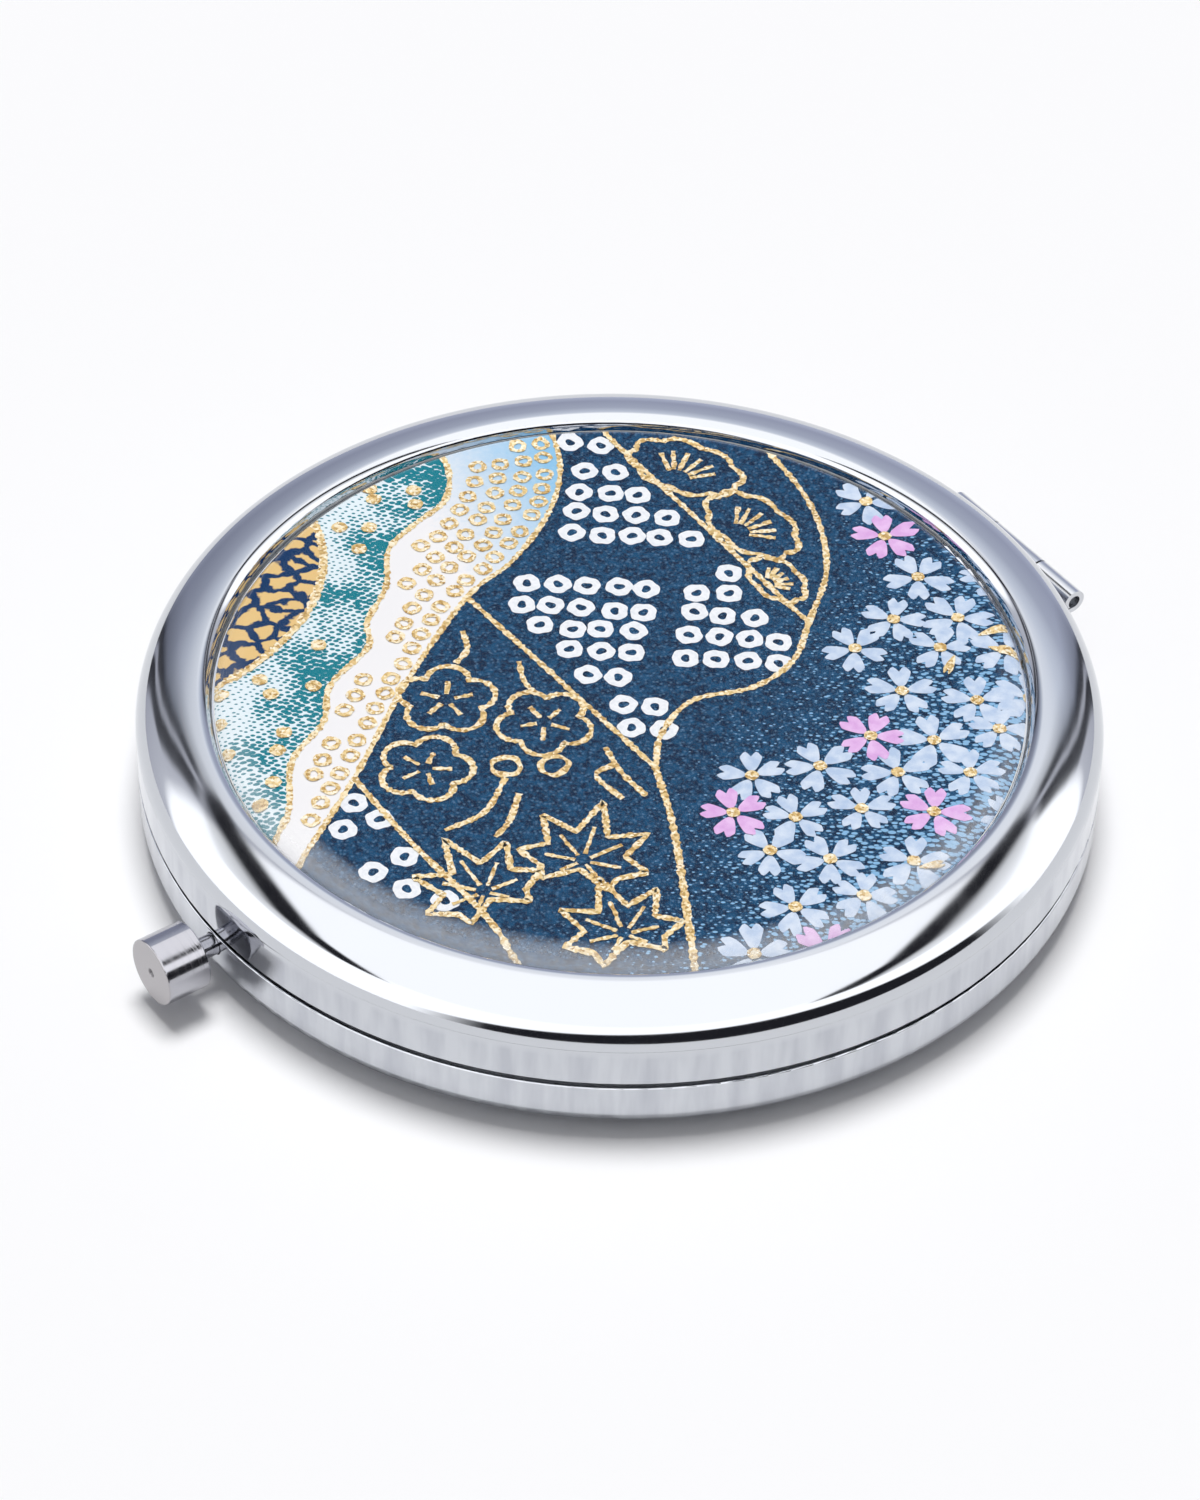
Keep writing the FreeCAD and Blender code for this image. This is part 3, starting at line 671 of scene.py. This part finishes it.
def evenly(path, pitch):
    """Points along a line, one at every pitch of its own length."""
    length = np.concatenate([[0], np.cumsum(np.linalg.norm(np.diff(path, axis=0), axis=1))])
    stops = np.arange(0, length[-1], pitch)
    return np.stack([np.interp(stops, length, path[:, axis]) for axis in (0, 1)], axis=-1)


def ribbon(path, width, closed=False):
    """A ragged line: points along the path, moved half of a wavering width to both sides, square to it."""
    path = evenly(np.concatenate([path, path[:1]]) if closed else path, GOLD_GRAIN)
    tangent = np.roll(path, -1, axis=0) - np.roll(path, 1, axis=0) if closed else np.gradient(path, axis=0)
    tangent = tangent / np.linalg.norm(tangent, axis=1, keepdims=True)
    half = width / 2 * rng.uniform(0.6, 1.3, (len(path), 1))
    side = half * np.stack([-tangent[:, 1], tangent[:, 0]], axis=-1)
    return np.concatenate([path - side, path + side]), grid_faces(2, len(path), closed)


def straight(start, end, samples=40):
    """A straight line drawn by hand, as evenly spaced points."""
    return np.linspace(start, end, samples) + rng.normal(0, 0.02, (samples, 2))


def plum(centre, size, turn):
    """A plum blossom in outline: r = size (0.72 + 0.28 |cos 2.5 a|^0.75), with five stamens."""
    angle = np.linspace(0, 2 * np.pi, 120, endpoint=False)
    reach = size * (0.72 + 0.28 * np.abs(np.cos(2.5 * angle)) ** 0.75)
    outline = reach[:, None] * unit(angle + turn) + centre
    near = centre + 0.16 * size * unit(turn + fifths)
    far = centre + 0.56 * size * unit(turn + fifths)
    stamens = [ribbon(straight(*ends, 8), STAMEN_LINE) for ends in zip(near, far)]
    return [ribbon(outline, GOLD_LINE, True)] + stamens


def maple(centre, size, turn):
    """A maple leaf in outline: seven pointed lobes, longest in the middle, with a vein to each point."""
    lobe = np.radians(np.arange(-135, 136, 45)) + turn
    reach = size * np.array([0.62, 0.86, 1.0, 1.15, 1.0, 0.86, 0.62])
    tips = reach[:, None] * unit(lobe)
    dips = 0.55 * size * unit((lobe[:-1] + lobe[1:]) / 2)
    stalk = -0.16 * size * unit(turn)[None]
    corners = np.concatenate([tips[:1], np.stack([dips, tips[1:]], axis=1).reshape(-1, 2), stalk, tips[:1]])
    place = np.linspace(0, len(corners) - 1, 141)[:-1]
    start = place.astype(int)
    share = (place - start)[:, None]
    outline = corners[start] * (1 - share) + corners[start + 1] * share + centre
    veins = [ribbon(straight(centre + 0.12 * tip, centre + 0.6 * tip, 8), VEIN_LINE) for tip in tips]
    return [ribbon(outline, GOLD_LINE, True)] + veins


def pine(centre, size, turn):
    """A pine bough in outline, with needles: a scalloped cushion, r = size (1 + 0.13 |sin 4 a|), flattened
    to 0.62 of its height."""
    angle = np.linspace(0, 2 * np.pi, 140, endpoint=False)
    reach = size * (1 + 0.13 * np.abs(np.sin(4 * angle)))
    flat = reach[:, None] * unit(angle) * (1, 0.62)
    spin = np.stack([unit(turn), unit(turn + np.pi / 2)])
    needles = size * unit(np.radians(np.arange(20, 161, 28))) * (0.62, 0.40) @ spin
    root = size * np.array([0, -0.42]) @ spin + centre
    starts = root + 0.35 * (needles + centre - root)
    lines = [ribbon(straight(*ends, 10), NEEDLE_LINE) for ends in zip(starts, centre + needles)]
    return [ribbon(flat @ spin + centre, GOLD_LINE, True)] + lines


def spread(centres, size):
    """Filled spots of gold: rings with almost no eye."""
    return ink_rings(centres, size, 0.02 * size, 14)


gold, tree, shader, place = new_ink("bronze_powder_gold_ink")
powder = add_node(tree, "TexVoronoi", {"Vector": place, "Scale": 1 / GOLD_GRAIN})
shade = add_node(tree, "SeparateColor", {"Color": powder.node.outputs["Color"]})
tone = add_node(tree, "ValToRGB", {"Fac": shade}, [(0.0, "#b68d4a"), (0.45, "#ecd095"), (1.0, "#fff6e0")])
bump = add_node(tree, "Bump", {"Height": shade, "Distance": GRAIN_HEIGHT * MM})
connect(tree, shader, {"Base Color": tone, "Metallic": 0.2, "Roughness": 0.42, "Normal": bump})

gold_lines = [
    ribbon(cell_edge, 0.65), ribbon(teal_edge, 0.48), ribbon(white_edge, 0.44),
    ribbon(straight((-11.4, 9.4), (2.6, -8.6)), GOLD_LINE),
    ribbon(curve([(2.6, -8.6), (4.0, -15.5), (5.6, -30.0)]), 0.55),
    ribbon(curve([(-18.7, -10.4), (-14.4, -16.8), (-9.2, -23.6), (-5.6, -30.0)]), GOLD_LINE),
    ribbon(curve([(2.6, -8.6), (3.0, -5.0), (5.2, -1.4), (9.6, 0.2), (12.5, 3.2), (13.7, 7.4)]), GOLD_LINE),
    ribbon(straight((-2.4, 30.0), (13.7, 7.4)), GOLD_LINE),
    ribbon(curve([(13.7, 7.4), (15.1, 13.5), (14.3, 20.0), (11.5, 26.0), (7.5, 30.5)]), GOLD_LINE),
]
printed("ink_gold_edges", gold_lines, 5, gold)

motifs = []
for draw, centre, size, turn in (
        (plum, (-12.5, -1.9), 3.6, 0.3), (plum, (-5.4, -4.1), 3.5, 0.9), (plum, (-13.7, -9.2), 3.4, 0.0),
        (maple, (-2.4, -18.3), 5.4, 1.35), (maple, (-9.1, -21.6), 5.2, 2.1), (maple, (0.6, -25.4), 5.0, 1.9),
        (pine, (4.6, 25.0), 4.2, -0.5), (pine, (9.6, 18.4), 4.0, -0.9), (pine, (11.4, 12.2), 2.6, -1.0)):
    motifs += draw(np.array(centre), size, turn)
motifs += [ribbon(curve(path), SHOOT_LINE) for path in (
    [(-11.6, 5.6), (-11.2, 3.6), (-12.0, 2.0)], [(-7.4, 2.4), (-7.0, 0.4), (-6.2, -1.0)],
    [(-8.0, -10.0), (-9.4, -13.6), (-12.2, -15.6)], [(-7.0, -11.6), (-7.6, -14.4), (-8.6, -16.2)],
    [(-1.0, -6.6), (0.2, -9.2), (2.0, -11.6)], [(-0.4, -8.4), (-1.6, -9.6), (0.4, -12.0)])]
buds = np.array([(-8.0, -8.8), (-4.6, -8.6)])
motifs += ink_rings(buds, 1.2, 0.75)
printed("ink_gold_motifs", motifs, 5, gold)

RING_ROWS = (1.15, 2.85, 4.55, 6.25)
RING_PITCH = 1.75
BAND_RING_OUTER = 0.7
BAND_RING_INNER = 0.32
heading = np.gradient(white_edge, axis=0)
inward = np.stack([heading[:, 1], -heading[:, 0]], axis=-1) / np.linalg.norm(heading, axis=1, keepdims=True)
ring_spots = np.concatenate([evenly(white_edge + inward * row, RING_PITCH) for row in RING_ROWS])
to_teal = np.linalg.norm(ring_spots[:, None] - teal_edge[None], axis=-1).min(axis=1)
past_teal = np.interp(ring_spots[:, 1], teal_edge[::-1, 1], teal_edge[::-1, 0])
room_for_ring = (to_teal > 1.5) & (ring_spots[:, 0] > past_teal) & (np.linalg.norm(ring_spots, axis=1) < 28.2)
ring_spots = ring_spots[room_for_ring] + rng.normal(0, 0.08, (room_for_ring.sum(), 2))
printed("ink_gold_band_rings", ink_rings(ring_spots, BAND_RING_OUTER, BAND_RING_INNER, 16), 6, gold)

FLECK_RADIUS = 0.6
HEART_RADIUS = 0.5
fleck_spots = np.stack(np.meshgrid(np.arange(-28, -12, 3.0), np.arange(-14, 27, 2.8)), axis=-1).reshape(-1, 2)
fleck_spots = fleck_spots + rng.uniform(-1.1, 1.1, fleck_spots.shape)
fleck_room = np.interp(fleck_spots[:, 1], teal_edge[::-1, 1], teal_edge[::-1, 0]) - 1.0
cell_room = np.interp(fleck_spots[:, 1], cell_edge[::-1, 1], cell_edge[::-1, 0], left=-40, right=-40) + 1.2
flecks = fleck_spots[(fleck_spots[:, 0] < fleck_room) & (fleck_spots[:, 0] > cell_room)]
leaf_centres = np.array([(25.6, 6.2), (26.2, 5.4), (24.4, 4.6), (20.6, -18.2)])
blade, blade_faces = petal()
leaf_turns = np.array([0.5, -0.3, -1.9, 0.4])
leaf_sizes = np.array([1.1, 1.2, 0.9, 0.8])
leaves = repeated(blade * (1.15, 0.5), blade_faces, leaf_centres, leaf_turns, leaf_sizes)
spots = spread(flecks, FLECK_RADIUS) + spread(blossoms, HEART_RADIUS)
printed("ink_gold_flecks", spots + leaves, 6, gold)


# Resin dome
# Clear epoxy is poured over the paper and creeps to the edge, where its tension leaves a rounded shoulder.
# It is glass-clear and glossy. A white haze is painted along its shoulder, strongest on the camera's side: a
# painted reflection of the room's light, broken up by fine noise.

RIPPLE = 9.0
RIPPLE_HEIGHT = 0.008
HAZE_GRAIN = 0.5
HAZE_STARTS = 26.35
HAZE_ENDS = 29.35
HAZE_STOPS = ((0.3, 0), (0.6, 0.16), (0.85, 0.26), (1.0, 0.36))
# The index is set below epoxy's own 1.5, so that the bright room's reflection doesn't veil the print.
RESIN_INDEX = 1.27
resin, tree, shader, place = new_material("poured_clear_epoxy")
ripple = add_node(tree, "TexNoise", {"Vector": place, "Scale": 1 / RIPPLE, "Detail": 1.0})
bump = add_node(tree, "Bump", {"Height": ripple, "Distance": RIPPLE_HEIGHT * MM})
flat_place = add_node(tree, "VectorMath", {0: place, 1: (1, 1, 0)}, operation="MULTIPLY")
from_middle = add_node(tree, "VectorMath", {0: flat_place}, operation="LENGTH")
# Painted reflection: the shoulder is made partly opaque white, most on the camera's side.
haze_breakup = add_node(tree, "TexNoise", {"Vector": place, "Scale": 1 / HAZE_GRAIN, "Detail": 6.0})
painted_haze = add_node(tree, "Math", {0: haze_breakup, 1: 0.7, 2: from_middle}, operation="MULTIPLY_ADD")
painted_haze = add_node(tree, "MapRange", {"Value": painted_haze, "From Min": HAZE_STARTS, "From Max": HAZE_ENDS})
painted_haze = add_node(tree, "ValToRGB", {"Fac": painted_haze}, HAZE_STOPS)
toward_camera = (math.sin(PRINT_TURN), -math.cos(PRINT_TURN), 0)
camera_side = add_node(tree, "VectorMath", {0: place, 1: toward_camera}, operation="DOT_PRODUCT")
camera_side = add_node(tree, "MapRange", {"Value": camera_side, "From Min": -8.0, "From Max": 18.0})
painted_haze = add_node(tree, "Math", {0: painted_haze, 1: camera_side}, operation="MULTIPLY")
clearness = add_node(tree, "Math", {0: 1.0, 1: painted_haze}, operation="SUBTRACT")
connect(tree, shader, {
    "Base Color": (1, 1, 1, 1), "Roughness": 0.01, "IOR": RESIN_INDEX, "Transmission Weight": clearness,
    "Normal": bump})
# Lamp light goes straight in, so the print is lit as if the resin were open.
ray = add_node(tree, "LightPath").node.outputs
lamp_light = add_node(tree, "Math", {
    0: ray["Is Shadow Ray"], 1: ray["Is Diffuse Ray"]}, operation="MAXIMUM")
straight_through = add_node(tree, "BsdfTransparent")
clear = add_node(tree, "MixShader", {0: lamp_light, 1: shader.outputs[0], 2: straight_through})
connect(tree, tree.nodes["Material Output"], {"Surface": clear})

DOME_STATIONS = 240
DOME_CROWN = 0.18
DOME_SHOULDER = 1.8
DOME_EDGE = 0.2
FLAT_REACH = 24.0
dome_low, dome_high = (np.array(corner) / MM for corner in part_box("resin_dome"))
dome_radius = dome_high[0]
reach = np.concatenate([np.linspace(0, FLAT_REACH, 25), np.linspace(FLAT_REACH + 0.5, dome_radius, 70)])
bent = np.maximum(0, (reach - dome_radius + DOME_SHOULDER) / DOME_SHOULDER)
shoulder_drop = dome_high[2] - DOME_CROWN - dome_low[2] - DOME_EDGE
top = dome_high[2] - DOME_CROWN * (reach / dome_radius) ** 2 - shoulder_drop * bent ** 3
side = np.array([(dome_radius, dome_low[2]), (0, dome_low[2])])
profile = np.concatenate([np.stack([reach, top], axis=-1), side])


def turned_solid(profile, stations):
    """A profile from the axis out and back to it, turned about Z: rings of quads between two poles."""
    turn = np.linspace(0, 2 * np.pi, stations, endpoint=False)
    radius, height = profile[1:-1, :1], profile[1:-1, 1:]
    rings = np.stack([radius * np.cos(turn), radius * np.sin(turn), height + 0 * turn], axis=-1)
    rings = rings.reshape(-1, 3)
    poles = np.array([(0, 0, profile[0, 1]), (0, 0, profile[-1, 1])])
    first = np.arange(stations)
    last = first + len(rings) - stations
    first_pole = np.full(stations, len(rings))
    top_fan = np.stack([first_pole, first, np.roll(first, -1)], axis=-1)
    low_fan = np.stack([first_pole + 1, np.roll(last, -1), last], axis=-1)
    quads = grid_faces(len(profile) - 2, stations, around=True)[:, ::-1]
    return np.concatenate([rings, poles]), top_fan.tolist() + quads.tolist() + low_fan.tolist()


points, faces = turned_solid(profile, DOME_STATIONS)
dome = new_piece("resin_dome_poured", points * MM, faces, resin)
dome.data.polygons.foreach_set("use_smooth", np.arange(len(faces)) < DOME_STATIONS * (len(reach) - 1))
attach(dome, "lid")
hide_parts("resin_dome")


# Studio
# The case lies on a plain white table, lit from high up by a broad window lamp that isn't mirrored itself.
# The room around shows in the chrome: a soft light overhead, white boards to left and right, a blue-grey
# wall behind and the dark of the camera's side. Matt surfaces get only a little of its light.

VIEW_TURN = PRINT_TURN
TABLE_HALF = 3.0
table_white, tree, shader, place = new_material("matt_white_table")
connect(tree, shader, {"Base Color": "#f8f8f9", "Roughness": 0.9, "Specular IOR Level": 0.2})
corners = TABLE_HALF * np.array([(-1, -1, 0), (1, -1, 0), (1, 1, 0), (-1, 1, 0)])
table = new_piece("table", corners, [(0, 1, 2, 3)], table_white)

world = bpy.data.worlds.new("studio")
bpy.context.scene.world = world
world.use_nodes = True
tree = world.node_tree
direction = tree.nodes.new("ShaderNodeTexCoord").outputs["Generated"]
facing = add_node(tree, "VectorRotate", {"Vector": direction, "Angle": -VIEW_TURN}, rotation_type="Z_AXIS")
parts = add_node(tree, "SeparateXYZ", {"Vector": facing}).node
level = add_node(tree, "CombineXYZ", {"X": parts.outputs["X"], "Y": parts.outputs["Y"]})
level = add_node(tree, "VectorMath", {0: level}, operation="NORMALIZE")
elevation = add_node(tree, "Math", {0: parts.outputs["Z"]}, operation="ARCSINE")
elevation = add_node(tree, "Math", {0: elevation, 1: 2 / math.pi}, operation="MULTIPLY")

# Each edge of the room's parts is a plane through the case, and a direction lies on one side of it.
EDGES = {
    "over_left": (0.776, -0.307, 0.550), "over_right": (-0.817, -0.257, 0.516),
    "board_left": (0.27, 0.844, -0.463), "board_right": (-0.40, 0.80, -0.45),
    "front": (0.237, -0.466, -0.853)}
past = {name: add_node(tree, "VectorMath", {
    0: facing, 1: normal}, operation="DOT_PRODUCT") for name, normal in EDGES.items()}
over = add_node(tree, "Math", {0: past["over_left"], 1: past["over_right"]}, operation="MINIMUM")
beside = add_node(tree, "Math", {0: past["board_left"], 1: past["board_right"]}, operation="MINIMUM")
WALL_HALF_WIDTH = ((0.5, 0.69), (0.588, 0.62), (0.707, 0.42), (0.737, 0.27), (0.76, 0.10))
narrowing = add_node(tree, "ValToRGB", {"Fac": parts.outputs["Z"]}, WALL_HALF_WIDTH)
half_wall = add_node(tree, "Math", {0: parts.outputs["Y"], 1: narrowing}, operation="MULTIPLY")
sideways = add_node(tree, "Math", {0: parts.outputs["X"]}, operation="ABSOLUTE")
in_wall = add_node(tree, "Math", {0: half_wall, 1: sideways}, operation="SUBTRACT")

# The boards are brightest at their edge. The wall is blue-grey, brighter upward and shaded at its left.
BOARD_STOPS = ((0.0, (1.7, 1.7, 1.72)), (0.12, (0.72, 0.73, 0.80)), (1.0, (0.45, 0.46, 0.54)))
WALL_STOPS = (
    (0.0, (0.62, 0.66, 0.82)), (0.14, (0.46, 0.49, 0.63)), (0.32, (0.56, 0.60, 0.73)),
    (0.42, (0.85, 0.90, 1.02)), (0.47, (1.12, 1.15, 1.22)), (0.58, (1.3, 1.3, 1.32)))
WALL_LEFT_SHADE = 0.45
OVERHEAD = (1.56, 1.56, 1.58, 1)
DARK = (0.02, 0.02, 0.025, 1)
board_place = add_node(tree, "MapRange", {"Value": beside, "From Min": -0.04, "From Max": 0.5})
boards = add_node(tree, "ValToRGB", {"Fac": board_place}, BOARD_STOPS)
wall = add_node(tree, "ValToRGB", {"Fac": elevation}, WALL_STOPS)
leftward = add_node(tree, "MapRange", {
    "Value": parts.outputs["X"], "From Max": -0.4, "To Max": WALL_LEFT_SHADE})
wall = add_node(tree, "Mix", {"Factor": leftward, 6: wall, 7: (0.12, 0.13, 0.18, 1)}, data_type="RGBA")
is_wall = add_node(tree, "MapRange", {"Value": in_wall, "From Min": -0.01, "From Max": 0.01})
is_over = add_node(tree, "MapRange", {"Value": over, "From Min": -0.01, "From Max": 0.01})
is_high = add_node(tree, "MapRange", {"Value": elevation, "From Min": 0.54, "From Max": 0.57})
is_over = add_node(tree, "Math", {0: is_over, 1: is_high}, operation="MULTIPLY")

# Dark gaps run along the edges of the overhead light and of the wall. Each stop is 0.5 plus its distance
# from the edge, and how dark the gap is there.
OVER_GAP = ((0.24, 0), (0.41, 0.45), (0.46, 1), (0.54, 1), (0.565, 0))
off_over = add_node(tree, "Math", {0: over, 1: 0.5}, operation="ADD")
over_gap = add_node(tree, "ValToRGB", {"Fac": off_over}, OVER_GAP)
over_top = add_node(tree, "MapRange", {"Value": elevation, "From Min": 0.50, "From Max": 0.515})
over_gap = add_node(tree, "Math", {0: over_gap, 1: over_top}, operation="MULTIPLY")
WALL_GAP = (
    (0.28, 0), (0.33, 0.85), (0.41, 0.95), (0.43, 0.1), (0.45, 0.1), (0.47, 0.9), (0.51, 0.9),
    (0.55, 0.4), (0.66, 0))
off_wall = add_node(tree, "Math", {0: in_wall, 1: 0.5}, operation="ADD")
wall_gap = add_node(tree, "ValToRGB", {"Fac": off_wall}, WALL_GAP)
wall_top = add_node(tree, "MapRange", {
    "Value": elevation, "From Min": 0.489, "From Max": 0.511, "To Min": 1.0, "To Max": 0.0})
wall_gap = add_node(tree, "Math", {0: wall_gap, 1: wall_top}, operation="MULTIPLY")
gap = add_node(tree, "Math", {0: over_gap, 1: wall_gap}, operation="MAXIMUM")

# The camera's side is dark low down, and matt surfaces see the whole room dimmed, least so high up.
FILL_LOW = 0.02
FILL_HIGH = 0.30
is_front = add_node(tree, "MapRange", {"Value": past["front"], "From Max": 0.04})
toward = add_node(tree, "VectorMath", {0: level, 1: (0.454, -0.891, 0)}, operation="DOT_PRODUCT")
toward = add_node(tree, "MapRange", {"Value": toward, "From Min": 0.35, "From Max": 0.60})
is_front = add_node(tree, "Math", {0: is_front, 1: toward}, operation="MULTIPLY")
ray = add_node(tree, "LightPath").node.outputs
mirrored = add_node(tree, "Math", {0: ray["Is Camera Ray"], 1: ray["Is Glossy Ray"]}, operation="MAXIMUM")
mirrored = add_node(tree, "Math", {0: mirrored, 1: ray["Is Transmission Ray"]}, operation="MAXIMUM")
matt_ray = add_node(tree, "Math", {0: 1.0, 1: mirrored}, operation="SUBTRACT")
unlit = add_node(tree, "MapRange", {
    "Value": parts.outputs["Z"], "From Min": 0.3, "From Max": 0.8,
    "To Min": 1 - FILL_LOW, "To Max": 1 - FILL_HIGH})
shaded = add_node(tree, "Math", {0: matt_ray, 1: unlit}, operation="MULTIPLY")
room = boards
for mask, colour in ((is_wall, wall), (is_over, OVERHEAD), (gap, DARK), (is_front, DARK), (shaded, DARK)):
    room = add_node(tree, "Mix", {"Factor": mask, 6: room, 7: colour}, data_type="RGBA")
connect(tree, tree.nodes["Background"], {"Color": room, "Strength": 1.0})

LAMP_TILT = math.radians(8)
LAMP_SPREAD = math.radians(24)
LAMP_STRENGTH = 2.35
lamp_data = bpy.data.lights.new("window", "SUN")
lamp_data.energy = LAMP_STRENGTH
lamp_data.angle = LAMP_SPREAD
lamp = bpy.data.objects.new("window", lamp_data)
lamp.rotation_euler = (-LAMP_TILT, 0, VIEW_TURN)
lamp.visible_glossy = False
bpy.context.scene.collection.objects.link(lamp)


# Camera
# The photograph looks down at about 42 degrees, from over the right of the button.
# Its lens is long, so the far side of the case looks hardly smaller than the near one.

LENS = 122.8
VIEW_HEIGHT = math.radians(42.534)
VIEW_ROLL = math.radians(1.316)
VIEW_DISTANCE = 370.58 * MM
AIM = np.array((-1.375, -2.125, 5.94)) * MM
back = np.array((0, -math.cos(VIEW_HEIGHT), math.sin(VIEW_HEIGHT)))
level_right = np.array((1.0, 0, 0))
level_up = np.array((0, math.sin(VIEW_HEIGHT), math.cos(VIEW_HEIGHT)))
right = level_right * math.cos(VIEW_ROLL) + level_up * math.sin(VIEW_ROLL)
up = level_up * math.cos(VIEW_ROLL) - level_right * math.sin(VIEW_ROLL)
spin = np.array([
    [math.cos(VIEW_TURN), -math.sin(VIEW_TURN), 0], [math.sin(VIEW_TURN), math.cos(VIEW_TURN), 0], [0, 0, 1]])
pose = np.eye(4)
pose[:3, :3] = spin @ np.stack([right, up, back], axis=-1)
pose[:3, 3] = spin @ (AIM + back * VIEW_DISTANCE)
camera_data = bpy.data.cameras.new("camera")
camera_data.lens = LENS
camera_data.sensor_width = 36
camera_data.clip_start = 0.01
camera = bpy.data.objects.new("camera", camera_data)
bpy.context.scene.collection.objects.link(camera)
camera.matrix_world = pose.T.tolist()
bpy.context.scene.camera = camera
bpy.context.scene.view_settings.view_transform = "Standard"
